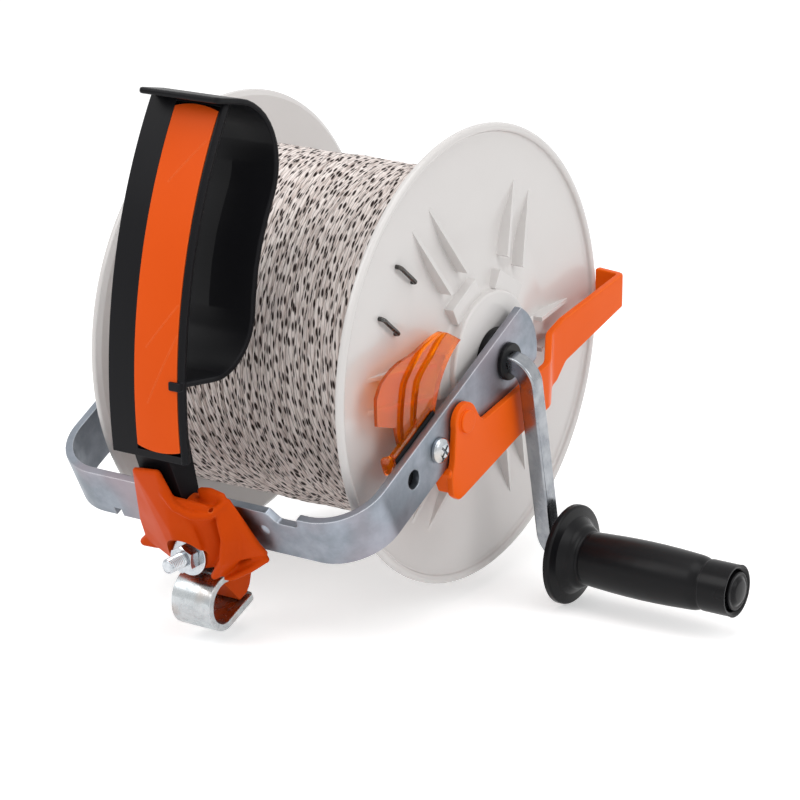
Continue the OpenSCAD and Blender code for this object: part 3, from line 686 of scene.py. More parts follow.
# The clamp's nylon: a redder orange, darkened as painted shade
SHADED_CLAMP_ORANGE = MouldedPlastic(
    "Moulded clamp orange nylon with painted shade", "orange_plastic", "#D24A06", "#C84304", pale="#EE8A4C",
    rough=0.45, spread=0.07, drift_mm=30, grain_mm=1.1, relief_mm=0.04, shine=0.06)
# Soft rubber-like insert: matter, with a fine skin
SOFT_ORANGE = MouldedPlastic(
    "Moulded orange elastomer", "orange_plastic", "#E6570E", "#DE500A", pale="#F58F55",
    rough=0.5, spread=0.06, drift_mm=50, grain_mm=0.8, relief_mm=0.03, shine=0.12)
# Clear orange polycarbonate: light comes through, sharp gloss on the ridges
CLEAR_ORANGE = MouldedPlastic(
    "Clear orange polycarbonate", "clear_orange", "#FF8E00", "#FF7C00", pale="#FFC488", clear=0.82,
    rough=0.09, spread=0.04, drift_mm=30, grain_mm=3.0, relief_mm=0.02, shine=0.15)
# Rubber pad: dull and very dark
RUBBER = MouldedPlastic(
    "Black rubber", "black_rubber", "#101011", "#151516", pale="#3A3A3C",
    rough=0.7, spread=0.08, drift_mm=20, grain_mm=0.7, relief_mm=0.05, shine=0.15)
# Bright zinc plate on strip steel: blue-grey, cloudy, half matt
ZINC = PlatedSteel("Zinc plated strip steel", "zinc_steel", "#959BA5", "#80878F", "#978E95",
                   rough=0.4, spread=0.08, cloud_mm=16)
# The same plate on drawn bar, which takes a higher shine; its warm tint is a painted reflection of the orange
# lever
ZINC_BAR = PlatedSteel("Zinc plated drawn bar", "zinc_steel", "#A2A5A9", "#868A90", "#94857F",
                       rough=0.22, spread=0.08, cloud_mm=9)
# The hook strip is polished by use
ZINC_HOOK = PlatedSteel("Worn zinc strip steel", "zinc_steel", "#BFC3C5", "#A6ABAE", "#B3ABA5",
                        rough=0.26, spread=0.09, cloud_mm=6)
# Clear zinc on turned fasteners: bright and sharp
BRIGHT = PlatedSteel("Bright zinc fastener steel", "bright_steel", "#C6CACE", "#AAB0B6", "#BDB7B0",
                     rough=0.2, spread=0.06, cloud_mm=5)
# Drawn wire, darkened: the staples read almost black with thin highlights
WIRE = PlatedSteel("Drawn steel wire", "steel_wire", "#5C5B5A", "#474645", "#544E4A",
                   rough=0.25, spread=0.06, cloud_mm=4, edge_highlight=0.2)
# Braided polyethylene: pale and matt, flecked with the dark tracers
ROPE = BraidedRope("Braided polyethylene rope", "fence_rope")


def add_piece(name: str, bm: Shape, body: Body, finish: Finish, nodes: Sequence[str] = (),
              crease: float = 33.0) -> bpy.types.Object:
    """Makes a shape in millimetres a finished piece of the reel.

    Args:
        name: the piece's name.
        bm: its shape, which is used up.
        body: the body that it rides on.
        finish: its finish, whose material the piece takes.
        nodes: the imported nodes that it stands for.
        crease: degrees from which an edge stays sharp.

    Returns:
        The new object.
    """
    mesh = mesh_of(moved(faced(bm), Matrix.Translation(MIDDLE) @ Matrix.Scale(MM, 4)), name)
    mesh.polygons.foreach_set("use_smooth", [True] * len(mesh.polygons))
    mesh.set_sharp_from_angle(angle=math.radians(crease))
    mesh.materials.append(finish.material())
    piece = placed(name, mesh)
    piece.modifiers.new("Even shading", "WEIGHTED_NORMAL").keep_sharp = True
    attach(piece, body.value)
    if nodes:
        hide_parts(*nodes)
    LOG.info("%s: %d faces on %s, %s", name, len(mesh.polygons), body.value, finish.name)
    return piece


# Sub-assemblies


@dataclass
class Drum:
    """The two ribbed flanges and the rope wound between them."""

    plate_x: float = 75.0
    face_x: float = 77.5
    hub_x: float = 91.0
    hub_r: float = 36.0
    dome_r: float = 66.0
    dome_h: float = 6.0
    rim_r: float = 122.5
    rim_x: float = 80.5
    rim_t: float = 4.5
    rib_pairs: int = 6
    rib_gap: float = 17.0
    rib_t: float = 2.4
    rib_h: float = 10.3
    rib_from: float = 53.0
    rib_to: float = 95.0
    lug_w: float = 25.0
    lug_h: float = 10.2
    lug_l: float = 9.0
    bore_r: float = 5.6
    wall: float = 4.0
    rope_d: float = 4.85
    rope_r: float = 92.5
    rope_turns: int = 31
    rope_half: float = 72.2
    staple_r: float = 85.0
    staple_turn: float = 142.0
    staple_half: float = 8.8
    staple_h: float = 2.8
    wire_r: float = 1.2
    wire_bend: float = 1.6
    rope_under: float = 2.9
    # The flanges hold the rope still at this place; between them it lies lower by the sink, and unevenly
    # along the axle and outwards: size, waves in a turn, phase for a millimetre of axle
    still_x: float = 74.0
    sink: float = 0.55
    sway: tuple = ((2.6, 1, 1 / 31), (1.3, 3, -1 / 12), (0.5, 0, 0.9))
    swell: tuple = ((0.35, 2, 1 / 8), (0.35, 0, 1.7))

    def flange(self) -> Shape:
        """Turns the plate with hub, dome and beaded rim, and sets the ribs and lugs on it."""
        x, hub, rim, inner = self.face_x, self.hub_x, self.rim_x, self.rim_r - self.rim_t
        back, well = hub - self.wall, self.hub_r - self.wall
        corners = ((back, self.bore_r), (hub, self.bore_r), (hub, self.hub_r), (x + self.dome_h, self.hub_r),
                   (x + 4.2, 48), (x, self.dome_r + 4), (x, inner), (rim, inner), (rim, self.rim_r),
                   (x - 0.6, self.rim_r), (self.plate_x, self.rim_r - 3), (self.plate_x, 51), (x - 2, well),
                   (back, well))
        radii = (0.4, 1.4, 3.0, 22.0, 30.0, 1.6, 1.9, 2.2, 1.5, 1.0, 1.0, 3.0)
        parts = [turned(Track(corners, radii).points(12), steps=144)]
        blade = ((self.rib_from, -1), (self.rib_to, -1), (self.rib_to, 0.1), (self.rib_from, self.rib_h))
        half = self.lug_w / 2
        for pair in range(self.rib_pairs):
            at = turn(pair * 360 / self.rib_pairs)
            for side in (-0.5, 0.5):
                rib = sheet(blade, -self.rib_t / 2, self.rib_t / 2, edge=0.3)
                parts.append(moved(rib, swapped("yxz"), shift(x, 0, side * self.rib_gap), at))
            lug = block((x, self.hub_r - 2, -half), (x + self.lug_h, self.hub_r + self.lug_l, half))
            parts.append(moved(lug, at))
        return joined(*parts)

    def rope_layer(self, radius: float, start: float, turns: int, sides: int, steps: int) -> Shape:
        """Winds one layer of rope.

        Args:
            radius: of the rope's centre line about the axle.
            start: place of the first turn along the axle.
            turns: number of turns.
            sides: facets round the rope.
            steps: facets in one turn.

        Returns:
            The layer, with a map of its own length and girth in metres.
        """
        bm = bmesh.new()
        chart = bm.loops.layers.uv.new(ROPE_MAP)
        pitch, girth = self.pitch(), circle((0, 0), self.rope_d / 2, steps=sides)
        along, around = FULL_TURN * radius / steps * MM, math.pi * self.rope_d / sides * MM
        rings = []
        for i in range(steps * turns + 1):
            place, angle = start + pitch * i / steps, FULL_TURN * i / steps
            ring = [(place + x, radius + r) for x, r in girth]
            rings.append([bm.verts.new(polar(x, r, angle)) for x, r in ring])
        for i, (a, b) in enumerate(zip(rings, rings[1:])):
            for k in range(sides):
                n = (k + 1) % sides
                face = bm.faces.new((a[k], a[n], b[n], b[k]))
                for loop, (row, side) in zip(face.loops, ((i, k), (i, k + 1), (i + 1, k + 1), (i + 1, k))):
                    loop[chart].uv = (row * along, side * around)
        for end in (rings[0], rings[-1]):
            bm.faces.new(end)
        for v in bm.verts:
            v.co = self.laid_by_hand(v.co)
        return bm

    def laid_by_hand(self, spot: Vector) -> Vector:
        """Shifts a point of the winding as an unevenly laid rope lies, less near the flanges."""
        angle = math.atan2(spot.z, spot.y)
        free = math.cos(math.pi / 2 * min(1, abs(spot.x) / self.still_x))
        sway, swell = (sum(size * math.sin(waves * angle + phase * spot.x) for size, waves, phase in lie)
                       for lie in (self.sway, self.swell))
        reach = 1 + (swell - self.sink) * free / self.rope_r
        return Vector((spot.x + sway * free, spot.y * reach, spot.z * reach))

    def pitch(self) -> float:
        """Room from turn to turn."""
        return 2 * self.rope_half / self.rope_turns

    def rope(self) -> Shape:
        """Winds the seen layer and the one under it."""
        first, turns = -self.rope_half, self.rope_turns
        outer = self.rope_layer(self.rope_r, first, turns, sides=10, steps=84)
        low = self.rope_r - self.rope_under
        under = self.rope_layer(low, first + self.pitch() / 2, turns - 1, sides=6, steps=60)
        return joined(outer, under)

    def staple(self, angle: float) -> Shape:
        """Bends one wire staple, which holds the rope's end to the flange; both staples lie the same way."""
        half, straight, root = self.staple_half, self.staple_half - self.wire_bend, 1.0
        rise, out = self.staple_h - self.wire_bend, (0, 0, 1)
        ring = [(-root, y - half, z) for y, z in circle((0, 0), self.wire_r, steps=12)]
        wire = drawn_out(ring, Pull((rise + root, 0, 0)), bend((rise, -straight, 0), out),
                         Pull((0, 2 * straight, 0)), bend((rise, straight, 0), out),
                         Pull((-rise - root, 0, 0)))
        spot = circle((0, 0), self.staple_r, angle, sweep=1, steps=1)[0]
        return moved(wire, turn(self.staple_turn), shift(self.face_x, *spot))

    def build(self) -> None:
        """Adds the drum's pieces."""
        add_piece("flange_near", self.flange(), Body.DRUM, WHITE, ["flange_crank"])
        add_piece("flange_back", moved(self.flange(), MIRROR), Body.DRUM, WHITE, ["flange_far"])
        add_piece("rope", self.rope(), Body.DRUM, ROPE, ["rope_winding", "rope_core"], crease=60)
        for name, angle in (("staple_upper", 138), ("staple_lower", 157)):
            add_piece("wire_" + name, self.staple(angle), Body.DRUM, WIRE, [name])


@dataclass
class Crank:
    """The square bar that is both axle and crank, its bushes and the turning grip."""

    far_x: float = -108.5
    bar_w: float = 9.5
    reach: float = 111.0
    lean: float = 12.3
    arm_x: float = 113.0
    bend_r: float = 11.0
    sleeve_x: float = 125.0
    sleeve_end: float = 226.5
    spindle_short: float = 8.0

    def bar(self) -> Shape:
        """Bends the bar from the far axle end to the grip's spindle."""
        half, r, arm, start = self.bar_w / 2, self.bend_r, self.arm_x, self.far_x
        corner = rounded(((-half, -half), (half, -half), (half, half), (-half, half)), 1.2, 30)
        bar = drawn_out([(start, y, z) for y, z in corner], Pull((arm - r - start, 0, 0)),
                        bend((arm - r, 0, -r), (0, 1, 0)), Pull((0, 0, 2 * r - self.reach)),
                        bend((arm + r, 0, r - self.reach), (0, -1, 0)),
                        Pull((self.sleeve_end - self.spindle_short - arm - r, 0, 0)))
        return moved(bar, turn(self.lean))

    def bush(self) -> Shape:
        """Turns a bush: collar against the hub, journal in the leg, lip outside."""
        corners = ((91.1, 5.2), (91.1, 17), (95.2, 17), (95.2, 7.85), (100.3, 7.85), (100.3, 10), (102.5, 10),
                   (102.5, 5.2))
        return turned(rounded(corners, (0.1, 0.6, 0.6, 0.2, 0.1, 0.3, 0.8, 0.3)), steps=64)

    def on_grip(self, bm: Shape) -> Shape:
        """Moves a shape from the axle to the grip's axis."""
        return moved(bm, shift(z=-self.reach), turn(self.lean))

    def sleeve(self) -> Shape:
        """Turns the grip: stop disc, neck, swelling barrel, groove and tail."""
        x, end = self.sleeve_x, self.sleeve_end
        swell = [(x + 14 + 67.5 * i / 8, 14.5 + 1.3 * math.sin(math.pi * i / 8)) for i in range(9)]
        corners = ((x, 4.9), (x, 27), (x + 3.4, 27), (x + 4.6, 21), (x + 8.5, 17.4), (x + 11.5, 16.6),
                   (x + 12.4, 13.9), *swell, (end - 17.8, 13.0), (end - 16.6, 13.0), (end - 16.4, 13.8),
                   (end, 13.8), (end, 10.4), (end - 6, 10.4))
        radii = (0.2, 1.4, 1.4, 3.0, 4.0, 1.2, 0.6, 0.8, *[12.0] * 7, 0.7, 0.2, 0.2, 0.4, 3.6, 0.3)
        return self.on_grip(turned(Track(corners, radii).points() + [(end - 6, 4.9)], steps=80))

    def cap(self) -> Shape:
        """Turns the end cap with its rim and flat dome."""
        end = self.sleeve_end
        corners = ((end - 5, 0), (end - 5, 10.2), (end + 0.8, 10.2), (end + 0.6, 8.2), (end + 2.2, 6.0),
                   (end + 2.9, 0))
        return self.on_grip(turned(Track(corners, (0.2, 0.7, 0.8, 3.0)).points(), steps=64, closed=False))

    def build(self) -> None:
        """Adds the crank's pieces."""
        add_piece("crank_rod", self.bar(), Body.DRUM, ZINC_BAR, ["crank_bar"])
        add_piece("bush_near", self.bush(), Body.DRUM, HAND_BLACK, ["bush_crank"])
        add_piece("bush_back", moved(self.bush(), MIRROR), Body.DRUM, HAND_BLACK, ["bush_far"])
        add_piece("crank_grip", self.sleeve(), Body.GRIP, HAND_BLACK, ["grip_sleeve"])
        add_piece("crank_grip_cap", self.cap(), Body.GRIP, HAND_BLACK, ["grip_cap"])


@dataclass
class StripFrame:
    """The bent strip that carries everything: two legs and the web between them."""

    leg_x: float = 100.0
    reach: float = 149.0
    thick: float = 4.5
    bend_r: float = 30.0
    top: float = 17.0
    low: float = -12.0
    head_r: float = 29.0
    head_drop: float = 18.0
    axle_hole: float = 8.1
    leg_hole: float = 5.0
    leg_hole_at: Point = (96.0, 4.0)

    def track(self) -> Track:
        """The strip's middle line, from the far axle to the near one, seen square to the legs."""
        x, u = self.leg_x - self.thick / 2, self.thick / 2 - self.reach
        r = self.bend_r - self.thick / 2
        return Track(((-x, 0), (-x, u), (x, u), (x, 0)), (r, r))

    def outline(self, axle: float, web: float) -> list[Point]:
        """Draws the flat strip with both heads, the tool notch and the foot notch.

        Args:
            axle: distance along the strip from one axle hole to the other.
            web: distance along the strip to the middle of the web.

        Returns:
            The outline's points.
        """
        head = math.degrees(math.asin(self.top / self.head_r))
        foot = math.degrees(math.asin(self.head_drop / self.head_r))
        near = circle((axle, 0), self.head_r, -foot, head + foot, 24)
        far = circle((0, 0), self.head_r, 180 - head, head + foot, 24)
        notch = Track(((web + 43, self.top), (web + 46, self.top), (web + 51, 11), (web + 63.5, 11),
                       (web + 64.5, self.top), (web + 67, self.top)), (1.5, 3, 2.5, 1.2)).points(30)
        return [*near, *reversed(notch), *far, (0, -self.head_drop), (32, self.low),
                (web - 62, self.low), (web - 62, self.low + 5), (web - 57.5, self.low + 5),
                (web - 57.5, self.low), (axle - 32, self.low), (axle, -self.head_drop)]

    def strip(self) -> Shape:
        """Cuts, drills and bends the strip, and stamps a dimple in its web."""
        track = self.track()
        axle = track.stations()[-1]
        back, aside = self.leg_hole_at
        holes = [circle((place, 0), self.axle_hole, steps=64) for place in (0, axle)]
        holes.append(circle((axle - back, aside), self.leg_hole, steps=24))
        flat = sheet(self.outline(axle, axle / 2), -self.thick / 2, self.thick / 2, holes, edge=0.6)
        stamp = turned(((-1.5, 3.6), (0, 3.2), (0.7, 2.2), (0.95, 0)), steps=24, closed=False)
        moved(stamp, turn(-90, "Z"), shift(40.5, -self.reach, 4.0))
        return moved(joined(moved(folded(flat, track), swapped("xzy")), stamp), LEAN)

    def build(self) -> None:
        """Adds the frame."""
        add_piece("strip_frame", self.strip(), Body.FRAME, ZINC, ["frame_strip"])


@dataclass
class Brake:
    """The brake lever, and the clear brake shoe with its pad and screw."""

    pivot: Point = (-45.11, -20.59)
    plate_x: float = 102.3
    arm_x: float = 91.7
    thick: float = 4.0
    end_y: float = 129.5
    shoe_x: tuple[float, float] = (88.1, 94.1)
    shoe_angles: tuple[float, float] = (152, 204)
    shoe_in: float = 40.4
    shoe_flare: float = 26.0
    shoe_facets: int = 26
    crown_drop: float = 9.0
    # Outer edges of the shoe's foot plate and of its arch: share of the way round, radius
    plate_line: tuple[Point, ...] = ((0, 54), (0.14, 65), (0.225, 72), (0.283, 80), (0.32, 89), (0.42, 101),
                                     (0.5, 105), (0.66, 105), (0.72, 90), (1, 88))
    arch_line: tuple[Point, ...] = ((0, 54), (0.225, 70), (0.45, 82), (0.72, 86), (1, 88))
    screw_at: Point = (-72.0, 2.5)

    def lever(self) -> Shape:
        """Cuts the lever from flat stock, steps its arm in and folds its end over the rim."""
        py, pz = self.pivot
        track = Track(((-70, self.plate_x), (36, self.plate_x), (54, self.arm_x), (self.end_y, self.arm_x),
                       (self.end_y, 75.7)), (11, 11, 3.4))
        end = track.stations()[-1]
        head = [(py + x, pz + y) for x, y in circle((0, 0), 10, 30, 165, 14)]
        sides = [(py - 10.2, pz - 10), (py - 10.6, pz - 19), (py - 13.0, pz - 28), (py - 11.6, pz - 37.6),
                 (py - 6, pz - 41), (py - 1.5, pz - 39.8), (5, -42), (34, -34), (52, -30), (60, -26.5),
                 (69, -17.5), (self.end_y - 3, -0.6)]
        back = [(self.end_y - 3, 18.2), (67, 6.8), (52, 1), (34, -9), (3, -16.6), (py + 16.9, pz - 3.4),
                (py + 12.2, pz)]
        flat = [(track.place_of(y), z) for y, z in head + sides] + [(end, 0.5), (end, 19.5)]
        flat += [(track.place_of(y), z) for y, z in back]
        soft = [0.5] * len(head) + [6, 8, 6, 5, 3.5, 3, 6, 10, 8, 6, 6, 4, 1.5, 1.5, 4, 8, 8, 8, 10, 4.5, 3]
        plate = sheet(rounded(flat, soft, 20), -self.thick / 2, self.thick / 2, edge=0.9)
        arm = moved(folded(plate, track), swapped("zxy"))
        boss = rounded(((101, 0.2), (101, 6.2), (105.8, 6.2), (105.8, 0.2)), (0.1, 0.1, 0.7, 0.1))
        pin = rounded(((92.2, 0.2), (92.2, 4), (102, 4), (102, 0.2)), (0.1, 0.6, 0.1, 0.1))
        stop = moved(block((91.5, -74, -27.3), (103.4, -62, -12.3), 1.2, 3), LEAN)
        round_parts = (turned(boss, steps=40), turned(pin, steps=32))
        return joined(arm, *(moved(p, shift(0, py, pz)) for p in round_parts), stop)

    def shoe(self) -> Shape:
        """Sweeps the stepped section round the hub: foot plate, arch and the arch's crown."""
        (low, high), (start, end) = self.shoe_x, self.shoe_angles
        third, sweep = (high - low) / 3, end - start
        first, second = low + third, low + 2 * third
        # Radii that only number the section's edges; each point then goes to its own edge's line
        inner, plate, arch, crown = 100, 101, 102, 103
        section = ((low, inner), (low, plate), (first, plate), (first, arch), (second, arch), (second, crown),
                   (high, crown), (high, inner))
        bm = drawn_out([(x, r, 0) for x, r in section], Pull(degrees=sweep, steps=self.shoe_facets))
        for v in bm.verts:
            share = math.degrees(math.atan2(v.co.z, v.co.y)) / sweep
            edge = round(math.hypot(v.co.y, v.co.z))
            radius = self.shoe_in + self.shoe_flare * share
            if edge != inner:
                radius = numpy.interp(share, *zip(*(self.plate_line if edge == plate else self.arch_line)))
            if edge == crown:
                radius -= self.crown_drop * min(1, 4 * share)
            v.co = polar(v.co.x, radius, math.radians(start + sweep * share))
        faced(bm)
        foot = moved(block((90.1, -98, -6.5), (94.1, -60, 20), 1.2, 3), LEAN)
        ear = moved(bead((91, -97, 17, 2), (91, -102, 20, 2.4), (91, -103, 14, 2)), LEAN)
        return joined(eased(bm, 0.8, 3, 50), foot, ear)

    def screw(self) -> Shape:
        """Turns the pan head screw and cuts its cross."""
        corners = ((86, 0.2), (86, 3), (100.1, 3), (100.1, 6.8), (102.6, 6.8), (104.1, 3.5), (104.1, 0))
        head = turned(Track(corners, (0.5, 0.1, 0.4, 1.8, 4.0)).points(12), steps=48, closed=False)
        cross = [block((102.2, -y, -z), (106, y, z), 0.2) for y, z in ((3.6, 0.75), (0.75, 3.6))]
        cut = worked(head, [moved(slot, turn(20)) for slot in cross])
        return moved(cut, shift(0, *self.screw_at), LEAN)

    def build(self) -> None:
        """Adds the brake's pieces."""
        add_piece("lever_arm", self.lever(), Body.LEVER, ORANGE, ["brake_lever"])
        add_piece("clear_shoe", self.shoe(), Body.FRAME, CLEAR_ORANGE, ["brake_shoe"])
        pad = moved(block((94.2, -98.5, -6.5), (95.4, -60.5, 18.6), 0.4), LEAN)
        add_piece("rubber_pad", pad, Body.FRAME, RUBBER, ["shoe_pad"])
        add_piece("pan_screw", self.screw(), Body.FRAME, BRIGHT, ["shoe_screw"])


@dataclass
class Handle:
    """The curved carrying grip with its insert, the closed hand guard and the stem on the web."""

    curve: Point = (106.0, 7.1)
    radius: float = 278.0
    angles: tuple[float, float] = (149.0, 187.0)
    grip_x: tuple[float, float] = (-28.0, 20.0)
    insert_x: tuple[float, float] = (-10.0, 17.0)
    bow: float = 2.0
    crown: float = 0.8
    crown_drop: float = 0.5
    # Slanted hairlines on the insert: X and angle of both ends
    hairlines: tuple = ((15.0, 153.4, -1.5, 158.0), (15.8, 170.2, -2.2, 175.0), (16.4, 173.3, -1.2, 180.8))

    def swept(self, section: Sequence[Point], start: float, end: float, steps: int = 40) -> Shape:
        """Sweeps a section of (X, depth behind the front) along the grip's curve between two angles."""
        ring = [polar(x, self.radius - depth, math.radians(start)) for x, depth in section]
        return drawn_out(ring, Pull(degrees=end - start, steps=steps))

    def aside(self, x: float) -> float:
        """How far X lies from the insert's middle, as a share of its half width."""
        i0, i1 = self.insert_x
        return (2 * x - i0 - i1) / (i1 - i0)

    def skin(self, x: float) -> float:
        """Depth of the insert's crowned skin, which stands out before the grip's front."""
        return self.crown_drop * self.aside(x) ** 2 - self.crown

    def on_curve(self, bm: Shape) -> Shape:
        """Moves a swept shape to the curve's centre."""
        return moved(bm, shift(0, *self.curve))

    def grip(self) -> Shape:
        """Sweeps the grip: flat front with a channel for the insert, thin edges, narrow back."""
        x0, x1 = self.grip_x
        i0, i1 = self.insert_x
        c0, c1 = i0 - 0.15, i1 + 0.15
        section = ((x0, 2.2), (x0 + 1.4, 0), (c0, 0), (c0, 3.1), (c1, 3.1), (c1, 0), (x1 - 1.4, 0), (x1, 2.2),
                   (x1 - 0.8, 5), (x1 - 13, 18), (x1 - 20, 24), (x0 + 20, 24), (x0 + 13, 18), (x0 + 0.8, 5))
        soft = (1, 1.2, 0.4, 0.1, 0.1, 0.4, 1.2, 1, 2, 8, 5, 5, 8, 2)
        start, end = self.angles
        plug = ((i0 - 0.4, 0.2), (i1 + 0.4, 0.2), (i1 + 0.4, 4), (i0 - 0.4, 4))
        ends = [self.swept(plug, *span, steps=2) for span in ((start, start + 0.6), (end - 0.8, end))]
        body = eased(self.swept(rounded(section, soft, 25), start, end), 0.5, 2, 60)
        return self.on_curve(joined(body, *ends))

    def insert(self) -> Shape:
        """Sweeps the crowned insert, bows its two ends and lays its hairlines on it."""
        i0, i1 = self.insert_x
        start, end = self.angles[0] + 1.1, self.angles[1] - 1.3
        across = [i1 - (i1 - i0) * k / 10 for k in range(11)]
        bm = self.swept([(i0, 3), (i1, 3), *((x, self.skin(x)) for x in across)], start, end, steps=44)
        centre, length = math.radians((start + end) / 2), math.radians(end - start) / 2 * self.radius
        for v in bm.verts:
            angle, reach = math.atan2(v.co.z, v.co.y), math.hypot(v.co.y, v.co.z)
            stretch = 1 + self.bow * (1 - self.aside(v.co.x) ** 2) / length
            angle = centre + ((angle - centre + math.pi) % FULL_TURN - math.pi) * stretch
            v.co = polar(v.co.x, reach, angle)
        lines, sunk, thin = [], 0.12, 0.3
        for xa, aa, xb, ab in self.hairlines:
            spots = []
            for share in (0, 0.25, 0.5, 0.75, 1):
                x, angle = xa + (xb - xa) * share, math.radians(aa + (ab - aa) * share)
                spots.append((*polar(x, self.radius - self.skin(x) - sunk, angle), thin))
            lines.append(ridge(*spots))
        return self.on_curve(joined(eased(bm, 0.5, 2, 50), *lines))

    def guard(self) -> Shape:
        """Bends the guard's wall round the hand, with a creased back."""
        corners = ((-146, 153.5), (-79.6, 140.9), (-115.9, 70.2), (-121.6, 14.1), (-169.5, 14.1))
        track = Track(corners, (36, 110, 30))
        end, wide = track.stations()[-1], 25
        flat = rounded(((0, -wide), (26, -wide), (end - 20, -wide), (end, -22), (end, 17.5), (end - 20, wide),
                        (26, wide), (0, wide)), (3, 20, 20, 2, 4, 20, 20, 3), 20)
        wall = sheet(flat, -1.6, 1.6, edge=1.1)
        # The crease comes up over a short run at both its ends
        first, last, run, deep = 60, end - 54, 12, 3.5
        scored(wall, (0, 0, 0), (0, 1, 0))
        for place in (first, first + run, last - run, last):
            scored(wall, (place, 0, 0), (1, 0, 0))
        for v in wall.verts:
            lies = min(1, max(0, (v.co.x - first) / run)) * min(1, max(0, (last - v.co.x) / run))
            v.co.z -= deep * lies * (1 - min(1, abs(v.co.y) / wide))
        return moved(folded(wall, track, 9), swapped("yxz"))

    def stem(self) -> Shape:
        """Wraps the stem from the web up to the foot of the grip."""
        low = moved(block((-18, -161.1, 6.5), (5, -149.1, 20.3), 0.01, 1), LEAN)
        grip_foot = self.on_curve(self.swept(((-17.5, 4), (4.5, 4), (4.5, 22), (-17.5, 22)), 185.4, 186.3, 1))
        neck = hull_of(moved(block((-18, -161.1, 17.3), (5, -149.1, 20.3), 0.01, 1), LEAN), grip_foot)
        return joined(eased(low, 1.2, 3), eased(neck, 1.5, 3, 25))

    def build(self) -> None:
        """Adds the handle's pieces."""
        # The folded end of the guard that laps over the insert
        tab = block((12.4, -173.55, 11.8), (19.6, -168, 16.4), 0.8, 3)
        body = joined(self.grip(), self.guard(), self.stem(), tab)
        add_piece("hand_grip", body, Body.FRAME, BLACK, ["handle_body"], crease=14)
        add_piece("grip_insert", self.insert(), Body.FRAME, SOFT_ORANGE, ["handle_insert"])


